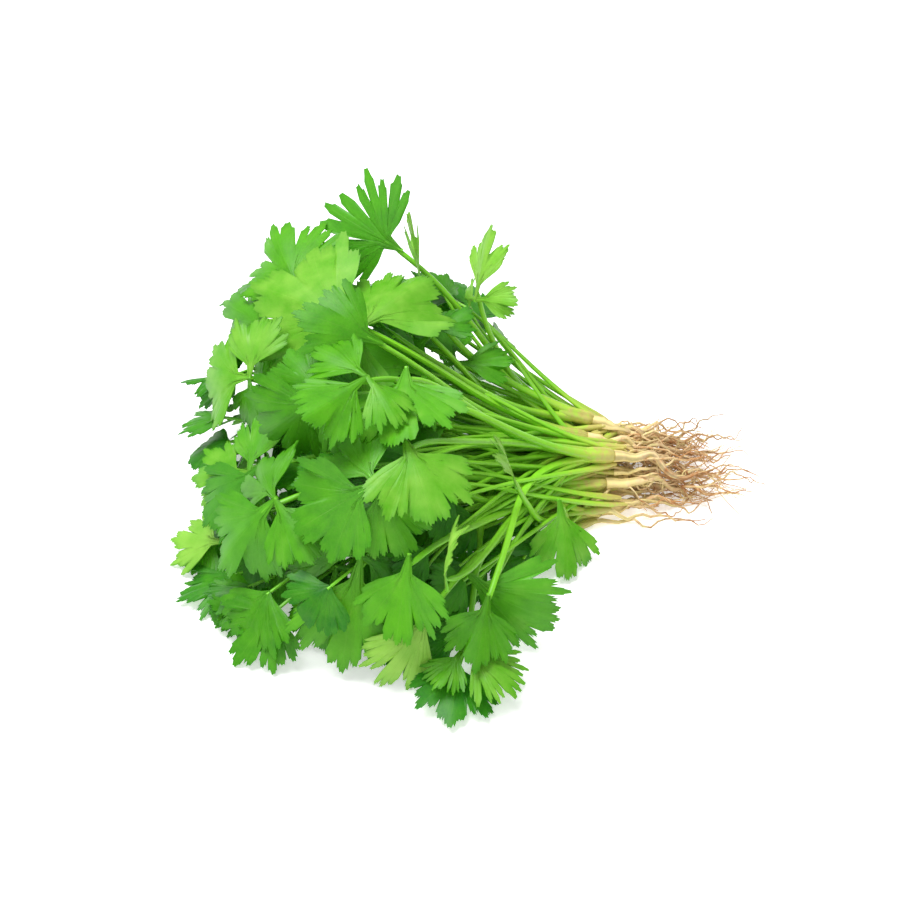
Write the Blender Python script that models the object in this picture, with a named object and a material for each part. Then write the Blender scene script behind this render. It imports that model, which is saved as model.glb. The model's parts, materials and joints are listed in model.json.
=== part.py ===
"""A bunch of fresh coriander, pulled with its roots on and laid on its side.

Twelve young plants lie with their crowns in a bundle. From each crown a few leaf stalks fan out,
and each stalk carries one fan-shaped leaflet or three of them. Every plant is two solids: its
green top, grown as one piece, and its root. All of it is placed by the rules below, and a leaf or
a root that would cross one already placed is bent a little until it lies clear.

Metres, +Z up. The roots point along +X, and the leaves fan out towards -X. The origin is under the
middle of the finished bunch; while it grows, places are measured from a point near there.
"""

import math
import random

import bpy
from mathutils import Matrix, Vector
from mathutils.bvhtree import BVHTree

MM = 0.001
SEED = 11
CLEARANCE = 0.3 * MM

# The crowns, where leaf stalks and root meet, are stacked in rows like logs.
CROWN_ROWS = (5, 4, 3)
CROWN_MIDDLE = Vector((60, 22, 0)) * MM
CROWN_PITCH = 10.4 * MM
CROWN_ROW_RISE = 9.4 * MM
CROWN_RADIUS = 3.0 * MM
CROWN_LENGTH = 15 * MM
CROWN_SIDES = 6
CROWN_STAGGER = 7 * MM
CROWN_SPLAY = 0.32
CROWN_TILT = 0.1
CROWN_PROFILE = ((0, 0.82), (0.3, 1.0), (0.7, 1.0), (1, 0.72))
BUNDLE_HALF_WIDTH = 2 * CROWN_PITCH
BUNDLE_HEIGHT = 2 * CROWN_ROW_RISE
BUNDLE_FAN = math.radians(42)

# The leaf stalks.
STALKS_PER_PLANT = 4
STALK_SEAT = 9 * MM
STALK_SPREAD = 0.85 * MM
FIRST_STALK_TURN = 0.5
STALK_BASE_RADIUS = 1.7 * MM
STALK_TIP_RADIUS = 1.0 * MM
STALK_SIDES = 5
STALK_STEPS = 6
STALK_BULGE = 12 * MM
STALK_HANDLE = 0.4
STALK_PARTING = 6
STALK_END_LEAN = 1.0
HEIGHT_WEIGHT = 0.7
STALK_COUNT_WEIGHT = 0.3
NECK_RADIUS = 0.65 * MM
NECK_SINK = 0.8 * MM

# A leaflet is a fan with three lobes. Its coarse edge is given for one half, from the middle out,
# as shares of the fan's half angle and of its reach there. The lobes part at the deep point.
BLADE_THICKNESS = 0.8 * MM
FAN_HALF_ANGLE = math.radians(68)
HALF_EDGE = (
    (0.14, 0.99),
    (0.27, None),
    (0.37, 0.96),
    (0.56, 0.99),
    (0.635, 0.78),
    (0.74, 0.97),
    (0.93, 0.88),
)
EDGE_FALL = 1.6
RIPPLES = 5
CREASE_WIDTH = 1.5 * MM
# How leaflets differ: in radians, in shares of their length, or in shares of the width asked for.
BLADE_RANGES = {
    "spread": (0.9, 1.06),
    "droop": (0.15, 0.75),
    "fold": (0.0, 0.38),
    "wave": (0.02, 0.06),
    "phase": (0, 2 * math.pi),
    "cleft": (0.50, 0.72),
    "side": (0.80, 0.92),
}
TERMINAL_NECK = 0.14
SIDE_NECK = 2.8 * MM
SIDE_SCALE = (0.72, 0.89)
SIDE_WIDTH = 0.85
SIDE_TURN = (80, 98)
SIDE_SINK = (0.0, 0.45)
SHORTEST_LEAF = 22 * MM
LOWEST_NODE = 4 * MM
LOWEST_BASE = 1.2 * MM
LIFT_HALVINGS = 16

# The roots.
ROOT_LENGTHS = (34 * MM, 52 * MM)
ROOT_RADIUS = 2.2 * MM
ROOT_TIP_RADIUS = 0.4 * MM
ROOT_SIDES = 5
ROOT_STEPS = 5
ROOT_TAPER = 0.75
ROOT_DRIFT = (-0.5, 0.3)
ROOT_FALL = 0.45
ROOT_HANDLE = 0.33
ROOT_BEND = 6 * MM
ROOT_SHIFT = (2 * MM, 12 * MM)
ROOT_TRIES = 100
ROOTLETS = 4
ROOTLET_LENGTHS = (10 * MM, 28 * MM)
ROOTLET_RADIUS = 0.5 * MM
ROOTLET_TAPER = 0.1
ROOTLET_SIDES = 3
ROOTLET_STEPS = 3
# How far a side root has gone out from its taproot after each third of its length, and its bends.
ROOTLET_OUT = (0.25, 0.6, 0.35)
ROOTLET_BEND = 4 * MM

# The leaves that show, the plainest first, in millimetres and degrees: where the stalk ends, where
# the tip of the leaf is, which way the leaf faces, as azimuth and elevation, how many leaflets it
# has and how wide they are for their length. Azimuth 0 is +X and -90 is the front.
SHOWN_FRONDS = {
    "bright": ((-32, 18, 80), (-80, 50, 80), (-105, 55), 3, 1.0),
    "top_back": ((-19, 68, 78), (-51, 80, 91), (-100, 30), 1, 1.25),
    "bright_behind": ((-58, 46, 76), (-74, 78, 88), (-110, 45), 1, 1.1),
    "left_high": ((-70, 33, 68), (-102, 56, 62), (-150, 50), 3, 0.9),
    "fork": ((-62, -46, 53), (-88, -56, 28), (-125, 45), 3, 1.0),
    "centre": ((-26, -52, 66), (-56, -64, 54), (-95, 50), 3, 1.0),
    "centre_right": ((-16, -38, 74), (-8, -66, 56), (-80, 35), 1, 1.0),
    "shoulder": ((-15, -8, 80), (-14, -44, 68), (-85, 45), 1, 1.1),
    "upper_mid": ((-31, -20, 77), (-50, -44, 68), (-100, 55), 3, 0.9),
    "bottom_flat": ((1, -88, 8), (25, -98, 2), (-90, 75), 3, 0.95),
    "pale_fold": ((-6, -76, 30), (-18, -98, 3), (-70, 35), 1, 0.6),
    "front_right": ((9, -52, 37), (14, -80, 6), (-75, 35), 1, 0.8),
    "front_broad": ((-32, -66, 44), (-34, -92, 10), (-95, 20), 3, 0.8),
    "front_mid": ((-17, -64, 46), (-15, -86, 22), (-88, 30), 1, 0.9),
    "pale_edge": ((-1, -76, 38), (-4, -68, 64), (170, 10), 1, 0.7),
    "front_shade": ((6, -68, 24), (1, -88, 7), (-95, 30), 1, 1.0),
    "front_narrow": ((-46, -64, 34), (-52, -84, 6), (-125, 25), 3, 0.8),
    "left_mid": ((-74, 12, 55), (-102, 28, 44), (-160, 45), 3, 1.0),
    "left_low": ((-74, -18, 40), (-100, -6, 28), (-160, 40), 3, 0.9),
    "blade_up": ((-11, 50, 68), (-13, 70, 96), (12, 8), 1, 0.6),
    "long_side": ((10, 52, 66), (14, 68, 89), (-160, 22), 3, 0.7),
    "dark_mid": ((-50, -14, 68), (-76, -30, 54), (-120, 50), 3, 1.0),
    "round_leaf": ((41, -12, 20), (46, -38, 4), (-60, 45), 1, 0.85),
    "left_foot": ((-84, -30, 16), (-106, -18, 5), (-150, 60), 1, 0.8),
    "left_front": ((-58, -38, 24), (-68, -54, 5), (-130, 35), 3, 0.8),
    "small_edge": ((24, -30, 44), (19, -26, 66), (10, 5), 1, 0.6),
    "back_dark": ((-8, 36, 60), (-22, 58, 66), (-95, 45), 3, 0.9),
    "back_right": ((4, 36, 48), (0, 62, 54), (-80, 50), 3, 0.8),
    "back_low": ((-46, 60, 16), (-62, 84, 2), (110, 50), 3, 1.0),
    "back_foot": ((4, 66, 12), (2, 90, 2), (85, 50), 3, 0.9),
}
FROND_TRIES = 100
LEAFLET_TRIES = 12
LEAFLET_EASE = 0.3
STALK_ROUTES = 20
STALK_CHOICES = 5
NODE_SHIFT = 12 * MM
AIM_SHIFT = 0.5
LEAFLET_SHIFT = 0.25

# The rest of the leaves fill a heap of this shape where those leave it bare.
HEAP_MIDDLE = Vector((-30, -5, 4)) * MM
HEAP_RADII = Vector((58, 80, 72)) * MM
HEAP_HEIGHT = 85 * MM
HEAP_FOOT = 0.72
HEAP_OPEN_SIDE = 0.45
HEAP_FRONT = -0.35
HEAP_FRONDS = 15
HEAP_PLACES = 160
HEAP_TRIES = 12
HEAP_LEAF_LENGTH = 34 * MM
HEAP_HANG = 0.7
HEAP_WIDTH = 0.9
GOLDEN_ANGLE = math.pi * (3 - math.sqrt(5))

LEAF_GREEN = (0.13, 0.40, 0.03, 1)
ROOT_BROWN = (0.45, 0.28, 0.13, 1)


def heading(azimuth, elevation):
    """The unit vector that points along an azimuth and an elevation in degrees."""
    a, e = math.radians(azimuth), math.radians(elevation)
    return Vector((math.cos(e) * math.cos(a), math.cos(e) * math.sin(a), math.sin(e)))


def square_to(vector, axis):
    """The part of a vector that is square to an axis, as a unit vector."""
    return (vector - axis * vector.dot(axis)).normalized()


def wobble(rng, size):
    """A random vector inside a cube of this half size."""
    return Vector([rng.uniform(-size, size) for _ in range(3)])


def blend(low, high, share):
    """The value this share of the way from low to high."""
    return low + (high - low) * share


def curve(ends, steps):
    """Points along a cubic Bezier curve."""
    p0, p1, p2, p3 = ends
    found = []
    for k in range(steps + 1):
        t = k / steps
        s = 1 - t
        found.append(p0 * s**3 + p1 * 3 * s * s * t + p2 * 3 * s * t * t + p3 * t**3)
    return found


def tube(path, radii, sides):
    """A closed tube along a path, as points and faces, with a flat side up at its start."""
    points, faces = [], []
    up = Vector((0, 0, 1))
    for k, place in enumerate(path):
        before, after = path[max(k - 1, 0)], path[min(k + 1, len(path) - 1)]
        along = (after - before).normalized()
        up = square_to(up, along)
        side = along.cross(up)
        for j in range(sides):
            turn = 2 * math.pi * (j + 0.5) / sides
            points.append(place + (up * math.cos(turn) + side * math.sin(turn)) * radii[k])
    for k in range(len(path) - 1):
        for j in range(sides):
            a, b = k * sides + j, k * sides + (j + 1) % sides
            faces += [(a, b, b + sides), (a, b + sides, a + sides)]
    last = (len(path) - 1) * sides
    for j in range(1, sides - 1):
        faces += [(0, j + 1, j), (last, last + j, last + j + 1)]
    return points, faces


def grow_leaflet(rng, base, along, face, length, width):
    """The measures of one leaflet: its place, its frame and how its blade is bent."""
    along = along.normalized()
    face = square_to(face, along)
    base.z = max(base.z, LOWEST_BASE)
    leaf = {"base": base, "along": along, "across": face.cross(along), "face": face, "length": length}
    leaf.update({name: rng.uniform(*span) for name, span in BLADE_RANGES.items()})
    leaf["width"] = width * leaf["spread"]
    lift_off_table(leaf)
    return leaf


def edge_reach(leaf, share):
    """How far the blade reaches at this share of its half angle, with no teeth, in leaf lengths."""
    return 1 - (1 - leaf["side"]) * abs(share) ** EDGE_FALL


def coarse_edge(leaf):
    """The coarse edge of the blade from one side to the other, as angles and reaches."""
    found = []
    for side in (-1, 1):
        half = []
        for share, depth in HALF_EDGE:
            reach = edge_reach(leaf, share) * (leaf["cleft"] if depth is None else depth)
            half.append((side * share * FAN_HALF_ANGLE, reach))
        found += half[::-1] if side < 0 else half
    return found


def blade_place(leaf, angle, reach):
    """Where a point of the flat blade goes once it is bent, and which way its upper face looks."""
    x = leaf["length"] * reach * math.cos(angle * leaf["width"])
    y = leaf["length"] * reach * math.sin(angle * leaf["width"])
    bend = leaf["droop"] / leaf["length"]
    crease = math.hypot(y, CREASE_WIDTH) - CREASE_WIDTH
    ripple = leaf["wave"] * leaf["length"] * reach**2 * math.sin(RIPPLES * angle + leaf["phase"])
    normal = leaf["face"] * math.cos(bend * x) + leaf["along"] * math.sin(bend * x)
    place = leaf["base"] + leaf["along"] * (math.sin(bend * x) / bend)
    place = place - leaf["face"] * ((1 - math.cos(bend * x)) / bend)
    place = place + leaf["across"] * (y * math.cos(leaf["fold"]))
    return place + normal * (ripple - crease * math.sin(leaf["fold"])), normal


def blade_skins(leaf, extra):
    """The points of the coarse edge on the upper and on the lower skin of the blade."""
    half = BLADE_THICKNESS / 2 + extra
    tops, bottoms = [], []
    for angle, reach in coarse_edge(leaf):
        place, normal = blade_place(leaf, angle, reach + extra / leaf["length"])
        tops.append(place + normal * half)
        bottoms.append(place - normal * half)
    return tops, bottoms


def leaflet_solid(leaf, start, extra=0):
    """A leaflet as points and faces: its neck from start on, and its blade, a fan on each side."""
    right = -leaf["across"]
    radius = NECK_RADIUS + extra
    ring = [leaf["face"] * radius, right * radius, leaf["face"] * -radius, right * -radius]
    points = [start + way for way in ring] + [leaf["base"] + way for way in ring]
    faces = [(0, 2, 1), (0, 3, 2)]
    for a in range(4):
        b = (a + 1) % 4
        faces += [(a, b, b + 4), (a, b + 4, a + 4)]
    tops, bottoms = blade_skins(leaf, extra)
    points += tops + bottoms
    upper = [5] + list(range(8, 8 + len(tops))) + [7]
    lower = [5] + list(range(8 + len(tops), 8 + 2 * len(tops))) + [7]
    for k in range(len(upper) - 1):
        faces += [(4, upper[k], upper[k + 1]), (6, lower[k + 1], lower[k])]
        if upper[k] != lower[k]:
            faces.append((upper[k], lower[k], upper[k + 1]))
        if upper[k + 1] != lower[k + 1]:
            faces.append((upper[k + 1], lower[k], lower[k + 1]))
    return points, faces


def lowest_edge(leaf):
    """The height of the lowest point of the blade's edge."""
    tops, bottoms = blade_skins(leaf, 0)
    return min(place.z for place in tops + bottoms)


def lift_off_table(leaf):
    """Turns a leaflet that would sink into the table up about its base, until it just rests."""
    if lowest_edge(leaf) >= 0:
        return
    hinge = leaf["along"].cross(Vector((0, 0, 1))).normalized()
    frame = {name: leaf[name].copy() for name in ("along", "across", "face")}

    def turn_up(angle):
        turn = Matrix.Rotation(angle, 3, hinge)
        leaf.update({name: turn @ axis for name, axis in frame.items()})

    low, high = 0.0, math.pi / 2
    for _ in range(LIFT_HALVINGS):
        middle = (low + high) / 2
        turn_up(middle)
        if lowest_edge(leaf) < 0:
            low = middle
        else:
            high = middle
    turn_up(high)


def grow_crowns():
    """The plants, each with the place and direction of its crown, in rows from the table up."""
    rng = random.Random(SEED)
    plants = []
    for row, count in enumerate(CROWN_ROWS):
        for column in range(count):
            sideways = (column - (count - 1) / 2) * CROWN_PITCH
            rise = CROWN_RADIUS * math.cos(math.pi / CROWN_SIDES) + row * CROWN_ROW_RISE
            stagger = rng.uniform(-CROWN_STAGGER, CROWN_STAGGER)
            axis = Vector((-1, CROWN_SPLAY * sideways / BUNDLE_HALF_WIDTH, CROWN_TILT * row))
            seat = CROWN_MIDDLE + Vector((stagger, sideways, rise))
            plants.append({"seat": seat, "axis": axis.normalized(), "fronds": []})
    return plants


def crown_solid(plant):
    """The pale swollen foot of a plant, cut square where its root begins."""
    path = [plant["seat"] + plant["axis"] * CROWN_LENGTH * t for t, _ in CROWN_PROFILE]
    return tube(path, [CROWN_RADIUS * share for _, share in CROWN_PROFILE], CROWN_SIDES)


def best_plants(plants, node):
    """The plants that can take one more stalk, the one best placed for this stalk's end first."""
    bearing = math.atan2(node.y - CROWN_MIDDLE.y, CROWN_MIDDLE.x - node.x)

    def misfit(number):
        plant = plants[number]
        sideways = (plant["seat"].y - CROWN_MIDDLE.y) / BUNDLE_HALF_WIDTH
        upward = plant["seat"].z / BUNDLE_HEIGHT
        aside = abs(sideways - bearing / BUNDLE_FAN)
        apart = HEIGHT_WEIGHT * abs(upward - node.z / HEAP_HEIGHT)
        return aside + apart + STALK_COUNT_WEIGHT * len(plant["fronds"])

    free = [k for k, plant in enumerate(plants) if len(plant["fronds"]) < STALKS_PER_PLANT]
    return sorted(free, key=misfit)


def stalk_line(rng, plant, node, along, loose):
    """The line of a leaf stalk: out of its crown along the crown's axis, then over to its leaf."""
    axis = plant["axis"]
    turn = 2 * math.pi * len(plant["fronds"]) / STALKS_PER_PLANT + FIRST_STALK_TURN
    up = square_to(Vector((0, 0, 1)), axis)
    offset = (up * math.cos(turn) + axis.cross(up) * math.sin(turn)) * STALK_SPREAD
    start = plant["seat"] + axis * STALK_SEAT + offset
    span = (node - start).length
    straight = (node - start).normalized()
    lean = STALK_END_LEAN * max(0, straight.dot(along))
    arrive = (straight + along * lean).normalized()
    handle = span * STALK_HANDLE
    first = start + axis * handle + offset * STALK_PARTING + wobble(rng, STALK_BULGE * loose)
    second = node - arrive * handle + wobble(rng, STALK_BULGE * loose)
    path = curve((start, first, second, node), STALK_STEPS)
    for place in path:
        place.z = max(place.z, STALK_BASE_RADIUS)
    return path


def leaflet_solids(frond, extra=0):
    """The leaflets of a frond, each with its neck, as points and faces, grown by extra."""
    start = frond["node"] - frond["along"] * NECK_SINK
    return [leaflet_solid(leaf, start, extra) for leaf in frond["leaves"]]


def stalk_solid(path, extra=0):
    """A leaf stalk, thinner towards its leaf, as points and faces, grown by extra."""
    steps = range(STALK_STEPS + 1)
    radii = [blend(STALK_BASE_RADIUS, STALK_TIP_RADIUS, k / STALK_STEPS) + extra for k in steps]
    return tube(path, radii, STALK_SIDES)


def leaflet_aims(rng, node, along, face, shape, loose):
    """Where a leaf's leaflets start, which way they point, how long and how wide they are."""
    length, leaflets, width = shape
    blade_length = length * (1 - TERMINAL_NECK)
    along = (along + wobble(rng, LEAFLET_SHIFT * loose)).normalized()
    aims = [(node + along * length * TERMINAL_NECK, along, blade_length, width)]
    for side in (-1, 1) if leaflets == 3 else ():
        out = Matrix.Rotation(side * math.radians(rng.uniform(*SIDE_TURN)), 3, face) @ along
        out = out - face * rng.uniform(*SIDE_SINK) + wobble(rng, LEAFLET_SHIFT * loose)
        out.normalize()
        size = blade_length * rng.uniform(*SIDE_SCALE)
        aims.append((node + out * SIDE_NECK, out, size, width * SIDE_WIDTH))
    return aims


def tree_of(solid):
    """A solid as a search tree, with its lowest and highest corners."""
    points, faces = solid
    low = [min(p[k] for p in points) for k in range(3)]
    high = [max(p[k] for p in points) for k in range(3)]
    return BVHTree.FromPolygons(points, faces), low, high


def crosses(first, second):
    """Whether the surfaces of two solids cross, given as their search trees."""
    tree, low, high = first
    other, other_low, other_high = second
    if any(low[i] > other_high[i] or high[i] < other_low[i] for i in range(3)):
        return False
    return bool(tree.overlap(other))


def clear_of(solid, group, placed):
    """Whether a new solid keeps clear of all that is placed, but for those of its own group."""
    tree = tree_of(solid)
    return not any(group != other_group and crosses(tree, other) for other_group, other in placed)


def settle_leaflets(rng, placed, node, along, face, shape, loose):
    """The leaflets of one leaf, each bent until it lies clear, or None where one can't."""
    start = node - along * NECK_SINK
    leaves, blades = [], []
    for number in range(shape[1]):
        for attempt in range(LEAFLET_TRIES):
            bend = max(loose, attempt / LEAFLET_TRIES)
            aims = leaflet_aims(rng, node, along, face, shape, bend)
            base, out, size, width = aims[number]
            side = face + wobble(rng, AIM_SHIFT * bend)
            leaf = grow_leaflet(rng, base, out, side, size, width)
            blade = tree_of(leaflet_solid(leaf, leaf["base"], CLEARANCE))
            if lowest_edge(leaf) < 0 or any(crosses(blade, other) for other in blades):
                continue
            if clear_of(leaflet_solid(leaf, start, CLEARANCE), "leaflet", placed):
                leaves.append(leaf)
                blades.append(blade)
                break
        if len(leaves) <= number:
            return None
    return {"node": node, "along": along, "leaves": leaves, "blades": blades}


def settle_stalk(rng, plants, placed, frond):
    """A stalk to a leaf from one of the plants that suit it best, or None where none lies clear."""
    choices = best_plants(plants, frond["node"])[:STALK_CHOICES]
    for route in range(STALK_ROUTES):
        number = choices[route % len(choices)]
        loose = route / STALK_ROUTES
        path = stalk_line(rng, plants[number], frond["node"], frond["along"], loose)
        tree = tree_of(stalk_solid(path))
        if any(crosses(tree, blade) for blade in frond["blades"]):
            continue
        if clear_of(stalk_solid(path, CLEARANCE), ("green", number), placed):
            placed.append((("green", number), tree))
            return number, path
    return None


def settle_frond(rng, plants, placed, aim, tries):
    """Tries a leaf at its aim, ever more loosely, until it and a stalk from some plant lie clear."""
    node, tip, face, leaflets, width = aim
    length = max((tip - node).length, SHORTEST_LEAF)
    for attempt in range(tries):
        loose = attempt / tries
        place = node + wobble(rng, NODE_SHIFT * loose)
        place.z = max(place.z, LOWEST_NODE)
        along = ((tip - node).normalized() + wobble(rng, AIM_SHIFT * loose)).normalized()
        side = square_to(face + wobble(rng, AIM_SHIFT * loose), along)
        shape = (length, leaflets, width)
        ease = LEAFLET_EASE * loose
        frond = settle_leaflets(rng, placed, place, along, side, shape, ease)
        stalk = frond and settle_stalk(rng, plants, placed, frond)
        if stalk:
            number, frond["path"] = stalk
            placed.extend((None, tree_of(solid)) for solid in leaflet_solids(frond))
            plants[number]["fronds"].append(frond)
            return True
    return False


def heap_places():
    """Places spread evenly over the heap's dome, but for its front and where the stalks come in."""
    found = []
    for number in range(HEAP_PLACES):
        rise = (number + 0.5) / HEAP_PLACES
        level = math.sqrt(1 - rise * rise)
        turn = number * GOLDEN_ANGLE
        out = Vector((level * math.cos(turn), level * math.sin(turn), rise))
        if out.x < HEAP_OPEN_SIDE and out.y > HEAP_FRONT:
            found.append(out)
    return found


def heap_spot(out):
    """The spot in this direction where a leaf of the heap starts, further in near the table."""
    inset = blend(HEAP_FOOT, 1, out.z)
    return HEAP_MIDDLE + Vector([out[k] * HEAP_RADII[k] * inset for k in range(3)])


def fill_heap(rng, plants, placed):
    """Adds leaves to the heap, each where it is barest, facing out with its tip hanging down."""
    spots = heap_places()
    fronds = [frond for plant in plants for frond in plant["fronds"]]
    middles = [leaf["base"] for frond in fronds for leaf in frond["leaves"]]
    wanted = HEAP_FRONDS
    while wanted and spots:
        gaps = [min((heap_spot(out) - middle).length for middle in middles) for out in spots]
        out = spots.pop(gaps.index(max(gaps)))
        place = heap_spot(out)
        away = (place - CROWN_MIDDLE).normalized() - Vector((0, 0, HEAP_HANG))
        tip = place + square_to(away, out) * HEAP_LEAF_LENGTH
        if any(
            settle_frond(rng, plants, placed, (place, tip, out, leaflets, HEAP_WIDTH), HEAP_TRIES)
            for leaflets in (3, 1)
        ):
            middles.append(place)
            wanted -= 1


def grow_leaves(plants, placed):
    """Every plant's leaves: first the leaves that show, then those of the heap."""
    rng = random.Random(SEED)
    for node, tip, face, leaflets, width in SHOWN_FRONDS.values():
        aim = (Vector(node) * MM, Vector(tip) * MM, heading(*face), leaflets, width)
        settle_frond(rng, plants, placed, aim, FROND_TRIES)
    fill_heap(rng, plants, placed)


def grow_root(rng, plant, loose):
    """The line of a taproot, from its crown on along the table's plane, sinking to it."""
    start = plant["seat"] - plant["axis"] * CLEARANCE
    length = rng.uniform(*ROOT_LENGTHS)
    sideways = (plant["seat"].y - CROWN_MIDDLE.y) * rng.uniform(*ROOT_DRIFT)
    end = start + Vector((length, sideways, -ROOT_FALL * start.z))
    end = end + wobble(rng, blend(*ROOT_SHIFT, loose))
    first = start - plant["axis"] * length * ROOT_HANDLE
    second = end - Vector((length * ROOT_HANDLE, 0, 0)) + wobble(rng, ROOT_BEND)
    path = curve((start, first, second, end), ROOT_STEPS)
    for place in path[1:]:
        place.z = max(place.z, ROOT_RADIUS)
    return path


def taproot_solid(path, extra=0):
    """A taproot, thinner towards its tip, as points and faces, grown by extra."""
    steps = [k / ROOT_STEPS for k in range(ROOT_STEPS + 1)]
    radii = [blend(ROOT_RADIUS, ROOT_TIP_RADIUS, t**ROOT_TAPER) + extra for t in steps]
    return tube(path, radii, ROOT_SIDES)


def grow_rootlet(rng, path):
    """The line of a side root, from inside the taproot out and on."""
    k = rng.randrange(1, ROOT_STEPS)
    start = path[k]
    onward = (path[k + 1] - path[k - 1]).normalized()
    out = square_to(wobble(rng, 1), onward)
    length = rng.uniform(*ROOTLET_LENGTHS)
    ends = [start]
    for third, sideways in enumerate(ROOTLET_OUT, 1):
        way = onward * third / 3 + out * sideways
        ends.append(start + way * length + wobble(rng, ROOTLET_BEND * third / 3))
    line = curve(ends, ROOTLET_STEPS)
    for place in line:
        place.z = max(place.z, ROOTLET_RADIUS)
    return line


def rootlet_solid(line, extra=0):
    """A side root, as points and faces, grown by extra."""
    radii = [ROOTLET_RADIUS * (1 - ROOTLET_TAPER * k) + extra for k in range(ROOTLET_STEPS + 1)]
    return tube(line, radii, ROOTLET_SIDES)


def grow_roots(plants, placed):
    """Every plant's taproot, then its side roots, each where it lies clear of the others."""
    rng = random.Random(SEED)
    for number, plant in enumerate(plants):
        group = ("root", number)
        for attempt in range(ROOT_TRIES):
            path = grow_root(rng, plant, attempt / ROOT_TRIES)
            if clear_of(taproot_solid(path, CLEARANCE), group, placed):
                break
        plant["root"] = path
        plant["rootlets"] = []
        placed.append((group, tree_of(taproot_solid(path))))
    for number, plant in enumerate(plants):
        group = ("root", number)
        for _ in range(ROOT_TRIES):
            line = grow_rootlet(rng, plant["root"])
            if clear_of(rootlet_solid(line, CLEARANCE), group, placed):
                plant["rootlets"].append(line)
                placed.append((group, tree_of(rootlet_solid(line))))
            if len(plant["rootlets"]) == ROOTLETS:
                break


def grow_bunch():
    """All plants, each with its crown, leaves, taproot and side roots."""
    plants = grow_crowns()
    placed = [(("green", k), tree_of(crown_solid(plant))) for k, plant in enumerate(plants)]
    grow_roots(plants, placed)
    grow_leaves(plants, placed)
    return plants


def plant_solids(plant):
    """The closed solids that make up a plant's green top, its crown first."""
    solids = [crown_solid(plant)]
    for frond in plant["fronds"]:
        solids += [stalk_solid(frond["path"])] + leaflet_solids(frond)
    return solids


def root_solids(plant):
    """The closed solids that make up a plant's root, the taproot first."""
    return [taproot_solid(plant["root"])] + [rootlet_solid(line) for line in plant["rootlets"]]


def bunch_middle(plants):
    """The point under the middle of the finished bunch."""
    solids = [solid for plant in plants for solid in plant_solids(plant) + root_solids(plant)]
    points = [point for points, _ in solids for point in points]
    low = [min(point[k] for point in points) for k in range(3)]
    high = [max(point[k] for point in points) for k in range(3)]
    return Vector(((low[0] + high[0]) / 2, (low[1] + high[1]) / 2, 0))


def clear_scene():
    """Removes every object of the scene."""
    for obj in list(bpy.data.objects):
        bpy.data.objects.remove(obj, do_unlink=True)


def make_material(name, colour, roughness):
    """A plain material in one colour."""
    material = bpy.data.materials.new(name)
    material.use_nodes = True
    material.diffuse_color = colour
    shader = material.node_tree.nodes["Principled BSDF"]
    shader.inputs["Base Color"].default_value = colour
    shader.inputs["Roughness"].default_value = roughness
    shader.inputs["Metallic"].default_value = 0
    return material


def make_object(name, solid, seat, collection):
    """An object from one closed solid, with its origin at a plant's seat."""
    points, faces = solid
    mesh = bpy.data.meshes.new(name)
    mesh.from_pydata([point - seat for point in points], [], faces)
    obj = bpy.data.objects.new(name, mesh)
    collection.objects.link(obj)
    return obj


def fuse(name, solids, seat, material):
    """One object from closed solids that grow out of each other, joined by a Boolean union."""
    scene = bpy.context.scene.collection
    obj = make_object(name, solids[0], seat, scene)
    parts = bpy.data.collections.new(name + "_parts")
    scene.children.link(parts)
    for k, solid in enumerate(solids[1:]):
        make_object(f"{name}_part_{k}", solid, seat, parts)
    union = obj.modifiers.new("union", "BOOLEAN")
    union.operation = "UNION"
    union.operand_type = "COLLECTION"
    union.collection = parts
    union.solver = "MANIFOLD"
    bpy.context.view_layer.objects.active = obj
    bpy.ops.object.modifier_apply(modifier=union.name)
    for piece in list(parts.objects):
        bpy.data.objects.remove(piece, do_unlink=True)
    bpy.data.collections.remove(parts)
    obj.data.materials.clear()
    obj.data.materials.append(material)
    return obj


def main():
    clear_scene()
    leaf_green = make_material("coriander_green", LEAF_GREEN, 0.5)
    root_brown = make_material("root_brown", ROOT_BROWN, 0.75)
    plants = grow_bunch()
    middle = bunch_middle(plants)
    for number, plant in enumerate(plants, 1):
        top = fuse(f"plant_{number:02d}", plant_solids(plant), plant["seat"], leaf_green)
        root = fuse(f"root_{number:02d}", root_solids(plant), plant["seat"], root_brown)
        root.parent = top
        top.location = plant["seat"] - middle


if __name__ == "__main__":
    main()
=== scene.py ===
"""A bunch of fresh coriander, lying on its side with its roots on: the finished looks.

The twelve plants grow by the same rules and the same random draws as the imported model, so each
is drawn finely where its own coarse solids are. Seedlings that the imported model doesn't have fill
the heap between them.

Metres, +Z up. The roots point along +X, and the leaves fan out towards -X.
"""

import json
import math
import random

import bpy
from mathutils import Matrix, Vector
from mathutils.bvhtree import BVHTree

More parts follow.
